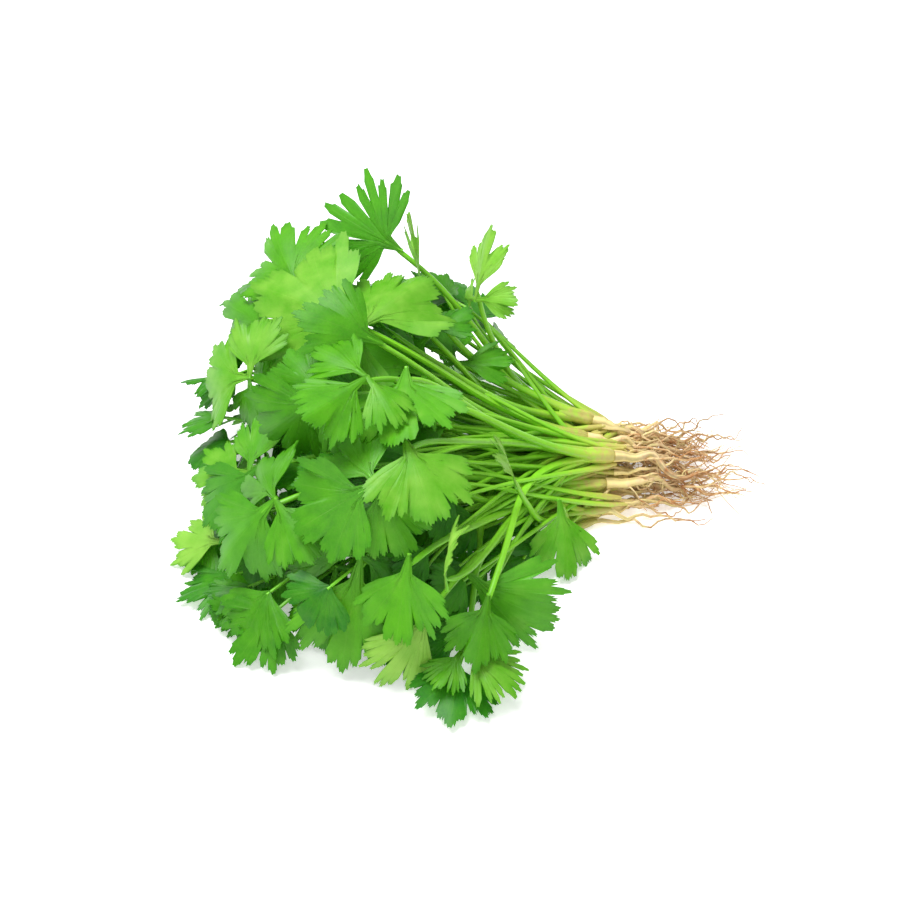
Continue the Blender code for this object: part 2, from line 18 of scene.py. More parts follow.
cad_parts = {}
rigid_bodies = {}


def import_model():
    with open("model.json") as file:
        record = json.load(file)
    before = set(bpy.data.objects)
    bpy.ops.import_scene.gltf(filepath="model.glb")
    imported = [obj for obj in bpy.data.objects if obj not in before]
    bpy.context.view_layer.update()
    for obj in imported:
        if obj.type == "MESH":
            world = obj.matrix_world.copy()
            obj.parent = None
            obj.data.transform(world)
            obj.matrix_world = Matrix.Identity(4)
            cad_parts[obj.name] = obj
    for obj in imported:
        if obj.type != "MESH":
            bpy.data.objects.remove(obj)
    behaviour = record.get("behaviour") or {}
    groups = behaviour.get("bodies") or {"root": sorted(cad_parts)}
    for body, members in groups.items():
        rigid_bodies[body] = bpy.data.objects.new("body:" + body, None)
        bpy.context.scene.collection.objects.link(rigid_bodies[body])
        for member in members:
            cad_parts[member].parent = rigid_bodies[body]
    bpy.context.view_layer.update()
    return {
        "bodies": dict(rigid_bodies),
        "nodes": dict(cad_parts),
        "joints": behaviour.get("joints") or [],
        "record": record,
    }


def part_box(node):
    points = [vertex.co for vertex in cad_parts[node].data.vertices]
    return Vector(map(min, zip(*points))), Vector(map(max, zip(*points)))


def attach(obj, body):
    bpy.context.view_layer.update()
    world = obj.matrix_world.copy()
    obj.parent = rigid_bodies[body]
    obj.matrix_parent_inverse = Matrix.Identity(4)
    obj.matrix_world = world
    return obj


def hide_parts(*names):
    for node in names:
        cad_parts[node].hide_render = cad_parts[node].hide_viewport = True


bl_info = {
    "name": "Coriander Bunch",
    "version": (1, 0, 0),
    "blender": (4, 5, 0),
    "location": "3D View > Sidebar > Coriander",
    "description": "Grows a bunch of fresh coriander with toothed leaves, stalks and roots",
    "category": "Add Mesh",
}

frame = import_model()
PLACE_TOLERANCE = 0.0005

MM = 0.001
SEED = 11
CLEARANCE = 0.3 * MM

# The crowns, where leaf stalks and root meet, are stacked in rows like logs.
CROWN_ROWS = (5, 4, 3)
CROWN_MIDDLE = Vector((60, 22, 0)) * MM
CROWN_PITCH = 10.4 * MM
CROWN_ROW_RISE = 9.4 * MM
CROWN_RADIUS = 3.0 * MM
CROWN_LENGTH = 15 * MM
CROWN_SIDES = 6
CROWN_STAGGER = 7 * MM
CROWN_SPLAY = 0.32
CROWN_TILT = 0.1
CROWN_PROFILE = ((0, 0.82), (0.3, 1.0), (0.7, 1.0), (1, 0.72))
BUNDLE_HALF_WIDTH = 2 * CROWN_PITCH
BUNDLE_HEIGHT = 2 * CROWN_ROW_RISE
BUNDLE_FAN = math.radians(42)

# The leaf stalks.
STALKS_PER_PLANT = 4
STALK_SEAT = 9 * MM
STALK_SPREAD = 0.85 * MM
FIRST_STALK_TURN = 0.5
STALK_BASE_RADIUS = 1.7 * MM
STALK_TIP_RADIUS = 1.0 * MM
STALK_SIDES = 5
STALK_STEPS = 6
STALK_BULGE = 12 * MM
STALK_HANDLE = 0.4
STALK_PARTING = 6
STALK_END_LEAN = 1.0
HEIGHT_WEIGHT = 0.7
STALK_COUNT_WEIGHT = 0.3
NECK_RADIUS = 0.65 * MM
NECK_SINK = 0.8 * MM

# A leaflet is a fan with three lobes. Its coarse edge is given for one half, from the middle out,
# as shares of the fan's half angle and of its reach there. The lobes part at the deep point.
BLADE_THICKNESS = 0.8 * MM
FAN_HALF_ANGLE = math.radians(68)
HALF_EDGE = (
    (0.14, 0.99),
    (0.27, None),
    (0.37, 0.96),
    (0.56, 0.99),
    (0.635, 0.78),
    (0.74, 0.97),
    (0.93, 0.88),
)
EDGE_FALL = 1.6
RIPPLES = 5
CREASE_WIDTH = 1.5 * MM
# How leaflets differ: in radians, in shares of their length, or in shares of the width asked for.
BLADE_RANGES = {
    "spread": (0.9, 1.06),
    "droop": (0.15, 0.75),
    "fold": (0.0, 0.38),
    "wave": (0.02, 0.06),
    "phase": (0, 2 * math.pi),
    "cleft": (0.50, 0.72),
    "side": (0.80, 0.92),
}
TERMINAL_NECK = 0.14
SIDE_NECK = 2.8 * MM
SIDE_SCALE = (0.72, 0.89)
SIDE_WIDTH = 0.85
SIDE_TURN = (80, 98)
SIDE_SINK = (0.0, 0.45)
SHORTEST_LEAF = 22 * MM
LOWEST_NODE = 4 * MM
LOWEST_BASE = 1.2 * MM
LIFT_HALVINGS = 16

# The roots.
ROOT_LENGTHS = (34 * MM, 52 * MM)
ROOT_RADIUS = 2.2 * MM
ROOT_TIP_RADIUS = 0.4 * MM
ROOT_SIDES = 5
ROOT_STEPS = 5
ROOT_TAPER = 0.75
ROOT_DRIFT = (-0.5, 0.3)
ROOT_FALL = 0.45
ROOT_HANDLE = 0.33
ROOT_BEND = 6 * MM
ROOT_SHIFT = (2 * MM, 12 * MM)
ROOT_TRIES = 100
ROOTLETS = 4
ROOTLET_LENGTHS = (10 * MM, 28 * MM)
ROOTLET_RADIUS = 0.5 * MM
ROOTLET_TAPER = 0.1
ROOTLET_SIDES = 3
ROOTLET_STEPS = 3
# How far a side root has gone out from its taproot after each third of its length, and its bends.
ROOTLET_OUT = (0.25, 0.6, 0.35)
ROOTLET_BEND = 4 * MM

# The leaves that show, the plainest first, in millimetres and degrees: where the stalk ends, where
# the tip of the leaf is, which way the leaf faces, as azimuth and elevation, how many leaflets it
# has, how wide they are for their length, and how bright. The brightness is partly the leaf's own
# green and partly painted light and shade: low for leaves that lie in shade among the others, high
# for leaves that catch the light. Azimuth 0 is +X and -90 is the front.
SHOWN_FRONDS = {
    "bright": ((-32, 18, 80), (-80, 50, 80), (-105, 55), 3, 1.0, 0.56),
    "top_back": ((-19, 68, 78), (-51, 80, 91), (-100, 30), 1, 1.25, 0.45),
    "bright_behind": ((-58, 46, 76), (-74, 78, 88), (-110, 45), 1, 1.1, 0.37),
    "left_high": ((-70, 33, 68), (-102, 56, 62), (-150, 50), 3, 0.9, 0.45),
    "fork": ((-62, -46, 53), (-88, -56, 28), (-125, 45), 3, 1.0, 0.4),
    "centre": ((-26, -52, 66), (-56, -64, 54), (-95, 50), 3, 1.0, 0.45),
    "centre_right": ((-16, -38, 74), (-8, -66, 56), (-80, 35), 1, 1.0, 0.5),
    "shoulder": ((-15, -8, 80), (-14, -44, 68), (-85, 45), 1, 1.1, 0.5),
    "upper_mid": ((-31, -20, 77), (-50, -44, 68), (-100, 55), 3, 0.9, 0.5),
    "bottom_flat": ((1, -88, 8), (25, -98, 2), (-90, 75), 3, 0.95, 0.55),
    "pale_fold": ((-6, -76, 30), (-18, -98, 3), (-70, 35), 1, 0.6, 0.95),
    "front_right": ((9, -52, 37), (14, -80, 6), (-75, 35), 1, 0.8, 0.5),
    "front_broad": ((-32, -66, 44), (-34, -92, 10), (-95, 20), 3, 0.8, 0.35),
    "front_mid": ((-17, -64, 46), (-15, -86, 22), (-88, 30), 1, 0.9, 0.4),
    "pale_edge": ((-1, -76, 38), (-4, -68, 64), (170, 10), 1, 0.7, 0.85),
    "front_shade": ((6, -68, 24), (1, -88, 7), (-95, 30), 1, 1.0, 0.3),
    "front_narrow": ((-46, -64, 34), (-52, -84, 6), (-125, 25), 3, 0.8, 0.35),
    "left_mid": ((-74, 12, 55), (-102, 28, 44), (-160, 45), 3, 1.0, 0.55),
    "left_low": ((-74, -18, 40), (-100, -6, 28), (-160, 40), 3, 0.9, 0.5),
    "blade_up": ((-11, 50, 68), (-13, 70, 96), (12, 8), 1, 0.6, 0.95),
    "long_side": ((10, 52, 66), (14, 68, 89), (-160, 22), 3, 0.7, 0.8),
    "dark_mid": ((-50, -14, 68), (-76, -30, 54), (-120, 50), 3, 1.0, 0.3),
    "round_leaf": ((41, -12, 20), (46, -38, 4), (-60, 45), 1, 0.85, 0.5),
    "left_foot": ((-84, -30, 16), (-106, -18, 5), (-150, 60), 1, 0.8, 0.85),
    "left_front": ((-58, -38, 24), (-68, -54, 5), (-130, 35), 3, 0.8, 0.4),
    "small_edge": ((24, -30, 44), (19, -26, 66), (10, 5), 1, 0.6, 0.8),
    "back_dark": ((-8, 36, 60), (-22, 58, 66), (-95, 45), 3, 0.9, 0.35),
    "back_right": ((4, 36, 48), (0, 62, 54), (-80, 50), 3, 0.8, 0.4),
    "back_low": ((-46, 60, 16), (-62, 84, 2), (110, 50), 3, 1.0, 0.4),
    "back_foot": ((4, 66, 12), (2, 90, 2), (85, 50), 3, 0.9, 0.4),
}
FROND_TRIES = 100
LEAFLET_TRIES = 12
LEAFLET_EASE = 0.3
STALK_ROUTES = 20
STALK_CHOICES = 5
NODE_SHIFT = 12 * MM
AIM_SHIFT = 0.5
LEAFLET_SHIFT = 0.25

# The rest of the leaves fill a heap of this shape where those leave it bare.
HEAP_MIDDLE = Vector((-30, -5, 4)) * MM
HEAP_RADII = Vector((58, 80, 72)) * MM
HEAP_HEIGHT = 85 * MM
HEAP_FOOT = 0.72
HEAP_OPEN_SIDE = 0.45
HEAP_FRONT = -0.35
HEAP_FRONDS = 15
HEAP_PLACES = 160
HEAP_TRIES = 12
HEAP_LEAF_LENGTH = 34 * MM
HEAP_HANG = 0.7
HEAP_WIDTH = 0.9
GOLDEN_ANGLE = math.pi * (3 - math.sqrt(5))

# How finely the pieces are drawn: sides and steps of each straight tube before it is bent.
BLADE_RINGS = 7
INNER_BLADE_RINGS = 4
STALK_PATTERN = (10, 26)
NECK_PATTERN = (8, 5)
CROWN_PATTERN = (20, 12)
TAPROOT_PATTERN = (12, 32)
ROOTLET_PATTERN = (6, 14)
HAIR_PATTERN = (4, 10)
THIN_STALK_PATTERN = (8, 18)
# What a tube's first rings are drawn in to, the gap under what lies on the table, and the edges
# that look rounded, in degrees.
ROUNDED_END = (0.4, 0.8)
FLOOR_GAP = 0.15 * MM
LEAF_SMOOTHNESS = 50
TUBE_SMOOTHNESS = 60
# How deep the ribs along each kind of tube are, and the groove on top of a stalk, as shares.
STALK_RIBS = 0.06
STALK_GROOVE = 0.22
THIN_GROOVE = 0.2
GROOVE_SHARPNESS = 4
CROWN_RIBS = 0.1
TAPROOT_RIBS = 0.1
ROOTLET_RIBS = 0.12

# The cut edge of half a blade, from the middle out: shares of the half angle, and of the reach
# there. Tips of teeth and the notches between them take turns, and None is the deep cleft.
TEETH = (
    (0.000, 1.00),
    (0.075, 0.91),
    (0.150, 0.94),
    (0.255, None),
    (0.345, 0.88),
    (0.405, 0.83),
    (0.480, 1.00),
    (0.545, 0.88),
    (0.610, 0.90),
    (0.690, 0.72),
    (0.780, 0.94),
    (0.860, 0.82),
    (0.930, 0.80),
    (1.000, 0.58),
)
# A smaller tooth on the flank of each: what it adds to the reach at each part from notch to tip.
SMALL_TOOTH = (0.0, 0.034, -0.02, 0.026, 0.0)
SMALL_TOOTH_SIZES = (0.5, 1.5)
TOOTH_ROUNDNESS = 0.6
# A notch that reaches less than this level is a cleft, with steeper sides.
CLEFT_LEVEL = 0.79
CLEFT_STEEPNESS = 0.5
CLEFT_EASE = 0.08
TOOTH_SHIFT = 0.018
TOOTH_DEPTHS = (0.94, 1.04)
EXTRA_CUT = 0.05
TOOTH_CURL = 0.45 * MM
TOOTH_CURL_START = 0.75
# The leaves that are cut deeper than the rest, into fingers.
DEEP_CUTS = {"top_back": 0.22, "bright_behind": 0.09, "bottom_flat": 0.1, "left_high": 0.08}
# Each lobe's main vein and where the lobe ends, as shares of the half angle.
LOBES = ((0.0, 0.255), (0.48, 0.69), (0.80, 1.1))
LOBE_TILT = 0.17
LOBE_TILT_START = 0.4
# Veins run together towards each lobe's main vein, but for those beside a cleft. They lie a
# little low, and they thin out and end before the rim.
VEIN_GATHER = 0.45
VEIN_GATHER_REACH = 0.75
VEIN_GATHER_EDGE = 0.8
VEIN_SINK = 0.06 * MM
VEIN_SINK_REACH = 1.2
MAIN_VEIN_REACH = 0.06
SIDE_VEIN = 0.7
VEIN_FADE = 0.45
VEIN_END = 0.95
# The base of the blade narrows to a wedge, and its first ring is drawn out to the leaf's node.
WEDGE_NARROWING = 0.32
BLADE_START = 0.03
FIRST_RING_END = -0.49
WING_WIDTH = 0.7 * MM
WING_RISE = 0.5 * MM

# The looks of a blade. Tones go from 0, the shade green, to 1, the bright green. A range gives
# the span that is read and the span that it becomes.
TONE_SPREAD = 0.11
# The heap's leaves, and more so the seedlings' leaves deep inside it, get low tones: painted shade.
HEAP_SHADED_TONE = 0.38
INNER_SHADED_TONE = 0.22
COOL_SHARE = 0.6
COOL_MIX = 0.5
MOTTLE_SIZE = 7 * MM
MOTTLE_RANGE = (0.3, 0.7, -0.1, 0.1)
RIM_RANGE = (0.88, 1.0, 0.0, 0.25)
NET_SIZE = 1.6 * MM
NET_RANGE = (0.0, 0.14, 0.1, 0.0)
VEIN_SHARPNESS = 3.0
VEIN_MIX = 0.42
VEIN_DEPTH = 0.12 * MM
UPPER_ROUGHNESS = 0.42
UNDER_ROUGHNESS = 0.6
UNDER_SHARE = 0.4
WAX_GLOSS = 0.36
GLOW_SHARE = 0.3

# The looks of stalks and roots: colours at distances from the crown, and how the skin varies. A
# stalk's skin is smooth and satin with fine ridges along it, and a root's is corky and matt.
STALK_STOPS = (
    ("crown", 0.0),
    ("crown", 4 * MM),
    ("foot", 13 * MM),
    ("green", 30 * MM),
    ("green", 80 * MM),
    ("tip", 120 * MM),
)
STALK_SKIN = {
    "streaks": 0.18, "roughness": 0.38, "depth": 0.1 * MM, "grain": 2.0 * MM, "wander": 0.06
}
ROOT_STOPS = (
    ("collar", 0.0),
    ("collar", 8 * MM),
    ("skin", 20 * MM),
    ("tip", 45 * MM),
    ("skin", 60 * MM),
)
ROOT_SKIN = {
    "streaks": 0.3, "roughness": 0.75, "depth": 0.35 * MM, "grain": 3.0 * MM, "wander": 0.35
}
WANDER_RANGE = (0.25, 0.75)
STREAK_RANGE = (0.5, 1.5)

# The body of a crown, as shares of its radius: its core, and how it swells and is knobbed.
CROWN_CORE = 0.72
CROWN_SWELLS = (0.1, 0.3)
CROWN_FULLEST = (0.8, 1.6)
CROWN_ROUNDNESS = 0.6
CROWN_KNOB = 0.03

# The sheath of a stalk, where it clasps the crown.
SHEATH_STEPS = 4
SHEATH_START = 1.0 * MM
SHEATH_GATHER = 0.6
SHEATH_FLARE = 0.5 * MM
SHEATH_FADE = 16 * MM
STALK_END_RADIUS = NECK_RADIUS * 0.5
NECK_REACH = 2.0 * MM
NECK_ENDS = (1.3, 0.4)
NECK_HANDLES = (0.3, 0.4)
# How many points before its end a stalk is smoothed over, and how often.
NODE_REACH = 9
NODE_SOFTENINGS = 8

# The fine roots. A rise is how far down its taproot's colours a side root or a hair starts.
ROOT_MEANDER = 1.9 * MM
ROOT_WAVES = 9
ROOT_OVERLAP = 1.5 * MM
ROOT_KNOBS = (-0.1, 0.12)
TAPROOT_END_RADIUS = ROOT_TIP_RADIUS * 0.5
ROOTLET_MEANDER = 1.0 * MM
ROOTLET_END_RADIUS = 0.14 * MM
ROOTLET_RISE = 20 * MM
HAIR_LENGTHS = (7 * MM, 20 * MM)
HAIR_BEND = 4.5 * MM
HAIR_RADIUS = 0.2 * MM
HAIR_END_RADIUS = 0.05 * MM
HAIR_OUT = 0.14
HAIR_RISE = 12 * MM

# The seedlings: thin plants of one leaf each, whose leaves fill the heap and the wedge where it
# narrows to the crowns. They start between the crowns of the large plants.
SEEDLINGS = 145
# Bare spots that the photograph shows filled, in millimetres, tried before the rest.
SEEDLING_SPOTS = (
    (20, -22, 6),
    (28, -30, 8),
    (36, -24, 6),
    (14, -34, 9),
    (34, -12, 6),
    (-15, 60, 46),
    (0, 58, 40),
    (-6, 50, 42),
    (8, 50, 36),
    (6, 78, 44),
    (14, 60, 48),
    (-2, 66, 56),
    (18, 64, 38),
    (2, 72, 50),
    (10, 66, 44),
    (-8, 76, 48),
    (20, 52, 40),
    (29, 45, 34),
    (-14, 68, 52),
    (-30, 66, 55),
    (-72, 75, 58),
    (-84, 58, 44),
    (-86, 44, 36),
    (-70, 72, 50),
    (-76, 62, 46),
    (-80, 52, 42),
    (-78, 66, 34),
    (-83, 42, 38),
    (-84, 32, 30),
    (-86, 22, 32),
    (-84, 15, 26),
    (-80, 26, 18),
    (-86, 4, 18),
    (-8, -88, 7),
    (3, -84, 7),
    (-72, 14, 30),
    (-88, -24, 10),
)
SEEDLING_PLACES = 600
SEEDLINGS_PER_ROOT = 2
SEEDLINGS_PER_PIECE = 40
SEEDLING_TRIES = 14
SEEDLING_ROUTES = 8
SEEDLING_LEAVES = (16 * MM, 27 * MM)
SEEDLING_WIDTHS = (0.85, 1.15)
SEEDLING_SEAT_SHIFT = 9 * MM
SEEDLING_BASE_RADIUS = 1.15 * MM
SEEDLING_TIP_RADIUS = 0.6 * MM
SEEDLING_CROWN = 0.9 * MM
SEEDLING_CROWN_FADE = 9 * MM
SEEDLING_SIDES = 4
SEEDLING_BULGE = 9 * MM
SEEDLING_STRAIGHT = 0.7
SEAT_REACH = 1.3
SEAT_SLOPE = 1.5
SEEDLING_ROOTS = (18 * MM, 42 * MM)
SEEDLING_ROOT_TIP = 0.15 * MM
SEEDLING_ROOT_TAPER = 0.6
SEEDLING_ROOT_BEND = 5 * MM
WEDGE_START = 5 * MM
WEDGE_END = 45 * MM
WEDGE_HALF_WIDTH = 34 * MM
WEDGE_HEIGHT = 12 * MM
HEAP_NEAR_HEIGHT = 40 * MM
SEEDLING_HANG = 0.4
SEEDLING_SPREAD = 0.45

# The stage: the table's side, how many grains of its surface lie along it, the light from all
# round, the camera's aim, and each lamp's power in watts, side in metres and place.
TABLE_SIZE = 6
TABLE_GRAINS = 900.0
SKY_LIGHT = 0.46
CAMERA_TARGET = Vector((0, 0, 35)) * MM
LAMPS = (
    ("overhead", 21.0, 0.8, (-0.40, 0.20, 1.25)),
    ("front_fill", 5.0, 1.0, (-0.1, -1.2, 0.9)),
)


def heading(azimuth, elevation):
    """The unit vector that points along an azimuth and an elevation in degrees."""
    a, e = math.radians(azimuth), math.radians(elevation)
    return Vector((math.cos(e) * math.cos(a), math.cos(e) * math.sin(a), math.sin(e)))


def square_to(vector, axis):
    """The part of a vector that is square to an axis, as a unit vector."""
    return (vector - axis * vector.dot(axis)).normalized()


def wobble(rng, size):
    """A random vector inside a cube of this half size."""
    return Vector([rng.uniform(-size, size) for _ in range(3)])


def blend(low, high, share):
    """The value this share of the way from low to high."""
    return low + (high - low) * share


def curve(ends, steps):
    """Points along a cubic Bezier curve."""
    p0, p1, p2, p3 = ends
    found = []
    for k in range(steps + 1):
        t = k / steps
        s = 1 - t
        found.append(p0 * s**3 + p1 * 3 * s * s * t + p2 * 3 * s * t * t + p3 * t**3)
    return found


def laid_line(ends, steps, lowest):
    """Points along a curve, none of them below this height."""
    path = curve(ends, steps)
    for place in path:
        place.z = max(place.z, lowest)
    return path


def frames_along(path):
    """Two directions square to a line at each of its points, turning as little as possible."""
    frames, up = [], Vector((0, 0, 1))
    for k in range(len(path)):
        before, after = path[max(k - 1, 0)], path[min(k + 1, len(path) - 1)]
        along = (after - before).normalized()
        up = square_to(up, along)
        frames.append((up, along.cross(up)))
    return frames


def tube(path, radii, sides):
    """A closed tube along a path, as points and faces, with a flat side up at its start."""
    points, faces = [], []
    for place, radius, (up, side) in zip(path, radii, frames_along(path)):
        for j in range(sides):
            turn = 2 * math.pi * (j + 0.5) / sides
            points.append(place + (up * math.cos(turn) + side * math.sin(turn)) * radius)
    for k in range(len(path) - 1):
        for j in range(sides):
            a, b = k * sides + j, k * sides + (j + 1) % sides
            faces += [(a, b, b + sides), (a, b + sides, a + sides)]
    last = (len(path) - 1) * sides
    for j in range(1, sides - 1):
        faces += [(0, j + 1, j), (last, last + j, last + j + 1)]
    return points, faces


def grow_leaflet(rng, base, along, face, length, width):
    """The measures of one leaflet: its place, its frame and how its blade is bent."""
    along = along.normalized()
    face = square_to(face, along)
    base.z = max(base.z, LOWEST_BASE)
    leaf = {"base": base, "along": along, "across": face.cross(along), "face": face, "length": length}
    leaf.update({name: rng.uniform(*span) for name, span in BLADE_RANGES.items()})
    leaf["width"] = width * leaf["spread"]
    lift_off_table(leaf)
    return leaf


def edge_reach(leaf, share):
    """How far the blade reaches at this share of its half angle, with no teeth, in leaf lengths."""
    return 1 - (1 - leaf["side"]) * abs(share) ** EDGE_FALL


def coarse_edge(leaf):
    """The coarse edge of the blade from one side to the other, as angles and reaches."""
    found = []
    for side in (-1, 1):
        half = []
        for share, depth in HALF_EDGE:
            reach = edge_reach(leaf, share) * (leaf["cleft"] if depth is None else depth)
            half.append((side * share * FAN_HALF_ANGLE, reach))
        found += half[::-1] if side < 0 else half
    return found


def blade_place(leaf, angle, reach):
    """Where a point of the flat blade goes once it is bent, and which way its upper face looks."""
    x = leaf["length"] * reach * math.cos(angle * leaf["width"])
    y = leaf["length"] * reach * math.sin(angle * leaf["width"])
    bend = leaf["droop"] / leaf["length"]
    crease = math.hypot(y, CREASE_WIDTH) - CREASE_WIDTH
    ripple = leaf["wave"] * leaf["length"] * reach**2 * math.sin(RIPPLES * angle + leaf["phase"])
    normal = leaf["face"] * math.cos(bend * x) + leaf["along"] * math.sin(bend * x)
    place = leaf["base"] + leaf["along"] * (math.sin(bend * x) / bend)
    place = place - leaf["face"] * ((1 - math.cos(bend * x)) / bend)
    place = place + leaf["across"] * (y * math.cos(leaf["fold"]))
    return place + normal * (ripple - crease * math.sin(leaf["fold"])), normal


def blade_skins(leaf, extra):
    """The points of the coarse edge on the upper and on the lower skin of the blade."""
    half = BLADE_THICKNESS / 2 + extra
    tops, bottoms = [], []
    for angle, reach in coarse_edge(leaf):
        place, normal = blade_place(leaf, angle, reach + extra / leaf["length"])
        tops.append(place + normal * half)
        bottoms.append(place - normal * half)
    return tops, bottoms


def leaflet_solid(leaf, start, extra=0):
    """A leaflet as points and faces: its neck from start on, and its blade, a fan on each side."""
    right = -leaf["across"]
    radius = NECK_RADIUS + extra
    ring = [leaf["face"] * radius, right * radius, leaf["face"] * -radius, right * -radius]
    points = [start + way for way in ring] + [leaf["base"] + way for way in ring]
    faces = [(0, 2, 1), (0, 3, 2)]
    for a in range(4):
        b = (a + 1) % 4
        faces += [(a, b, b + 4), (a, b + 4, a + 4)]
    tops, bottoms = blade_skins(leaf, extra)
    points += tops + bottoms
    upper = [5] + list(range(8, 8 + len(tops))) + [7]
    lower = [5] + list(range(8 + len(tops), 8 + 2 * len(tops))) + [7]
    for k in range(len(upper) - 1):
        faces += [(4, upper[k], upper[k + 1]), (6, lower[k + 1], lower[k])]
        if upper[k] != lower[k]:
            faces.append((upper[k], lower[k], upper[k + 1]))
        if upper[k + 1] != lower[k + 1]:
            faces.append((upper[k + 1], lower[k], lower[k + 1]))
    return points, faces


def lowest_edge(leaf):
    """The height of the lowest point of the blade's edge."""
    tops, bottoms = blade_skins(leaf, 0)
    return min(place.z for place in tops + bottoms)


def lift_off_table(leaf):
    """Turns a leaflet that would sink into the table up about its base, until it just rests."""
    if lowest_edge(leaf) >= 0:
        return
    hinge = leaf["along"].cross(Vector((0, 0, 1))).normalized()
    frame = {name: leaf[name].copy() for name in ("along", "across", "face")}

    def turn_up(angle):
        turn = Matrix.Rotation(angle, 3, hinge)
        leaf.update({name: turn @ axis for name, axis in frame.items()})

    low, high = 0.0, math.pi / 2
    for _ in range(LIFT_HALVINGS):
        middle = (low + high) / 2
        turn_up(middle)
        if lowest_edge(leaf) < 0:
            low = middle
        else:
            high = middle
    turn_up(high)


def grow_crowns():
    """The plants, each with the place and direction of its crown, in rows from the table up."""
    rng = random.Random(SEED)
    plants = []
    for row, count in enumerate(CROWN_ROWS):
        for column in range(count):
            sideways = (column - (count - 1) / 2) * CROWN_PITCH
            rise = CROWN_RADIUS * math.cos(math.pi / CROWN_SIDES) + row * CROWN_ROW_RISE
            stagger = rng.uniform(-CROWN_STAGGER, CROWN_STAGGER)
            axis = Vector((-1, CROWN_SPLAY * sideways / BUNDLE_HALF_WIDTH, CROWN_TILT * row))
            seat = CROWN_MIDDLE + Vector((stagger, sideways, rise))
            plants.append({"seat": seat, "axis": axis.normalized(), "fronds": []})
    return plants


def crown_solid(plant):
    """The pale swollen foot of a plant, cut square where its root begins."""
    path = [plant["seat"] + plant["axis"] * CROWN_LENGTH * t for t, _ in CROWN_PROFILE]
    return tube(path, [CROWN_RADIUS * share for _, share in CROWN_PROFILE], CROWN_SIDES)


def best_plants(plants, node):
    """The plants that can take one more stalk, the one best placed for this stalk's end first."""
    bearing = math.atan2(node.y - CROWN_MIDDLE.y, CROWN_MIDDLE.x - node.x)

    def misfit(number):
        plant = plants[number]
        sideways = (plant["seat"].y - CROWN_MIDDLE.y) / BUNDLE_HALF_WIDTH
        upward = plant["seat"].z / BUNDLE_HEIGHT
        aside = abs(sideways - bearing / BUNDLE_FAN)
        apart = HEIGHT_WEIGHT * abs(upward - node.z / HEAP_HEIGHT)
        return aside + apart + STALK_COUNT_WEIGHT * len(plant["fronds"])

    free = [k for k, plant in enumerate(plants) if len(plant["fronds"]) < STALKS_PER_PLANT]
    return sorted(free, key=misfit)


def stalk_ends(rng, plant, node, along, loose):
    """The line of a leaf stalk: out of its crown along the crown's axis, then over to its leaf."""
    axis = plant["axis"]
    turn = 2 * math.pi * len(plant["fronds"]) / STALKS_PER_PLANT + FIRST_STALK_TURN
    up = square_to(Vector((0, 0, 1)), axis)
    offset = (up * math.cos(turn) + axis.cross(up) * math.sin(turn)) * STALK_SPREAD
    start = plant["seat"] + axis * STALK_SEAT + offset
    span = (node - start).length
    straight = (node - start).normalized()
    lean = STALK_END_LEAN * max(0, straight.dot(along))
    arrive = (straight + along * lean).normalized()
    handle = span * STALK_HANDLE
    first = start + axis * handle + offset * STALK_PARTING + wobble(rng, STALK_BULGE * loose)
    second = node - arrive * handle + wobble(rng, STALK_BULGE * loose)
    return start, first, second, node


def leaflet_solids(frond, extra=0):
    """The leaflets of a frond, each with its neck, as points and faces, grown by extra."""
    start = frond["node"] - frond["along"] * NECK_SINK
    return [leaflet_solid(leaf, start, extra) for leaf in frond["leaves"]]


def stalk_solid(path, extra=0):
    """A leaf stalk, thinner towards its leaf, as points and faces, grown by extra."""
    steps = range(STALK_STEPS + 1)
    radii = [blend(STALK_BASE_RADIUS, STALK_TIP_RADIUS, k / STALK_STEPS) + extra for k in steps]
    return tube(path, radii, STALK_SIDES)


def leaflet_aims(rng, node, along, face, shape, loose):
    """Where a leaf's leaflets start, which way they point, how long and how wide they are."""
    length, leaflets, width = shape
    blade_length = length * (1 - TERMINAL_NECK)
    along = (along + wobble(rng, LEAFLET_SHIFT * loose)).normalized()
    aims = [(node + along * length * TERMINAL_NECK, along, blade_length, width)]
    for side in (-1, 1) if leaflets == 3 else ():
        out = Matrix.Rotation(side * math.radians(rng.uniform(*SIDE_TURN)), 3, face) @ along
        out = out - face * rng.uniform(*SIDE_SINK) + wobble(rng, LEAFLET_SHIFT * loose)
        out.normalize()
        size = blade_length * rng.uniform(*SIDE_SCALE)
        aims.append((node + out * SIDE_NECK, out, size, width * SIDE_WIDTH))
    return aims


def corners(points):
    """The lowest and the highest corner of the box round these points."""
    return [[furthest(point[k] for point in points) for k in range(3)] for furthest in (min, max)]


def tree_of(solid):
    """A solid as a search tree, with its lowest and highest corners."""
    points, faces = solid
    return BVHTree.FromPolygons(points, faces), *corners(points)


def crosses(first, second):
    """Whether the surfaces of two solids cross, given as their search trees."""
    tree, low, high = first
    other, other_low, other_high = second
    if any(low[i] > other_high[i] or high[i] < other_low[i] for i in range(3)):
        return False
    return bool(tree.overlap(other))


def clear_of(solid, group, placed):
    """Whether a new solid keeps clear of all that is placed, but for those of its own group."""
    tree = tree_of(solid)
    return not any(group != other_group and crosses(tree, other) for other_group, other in placed)


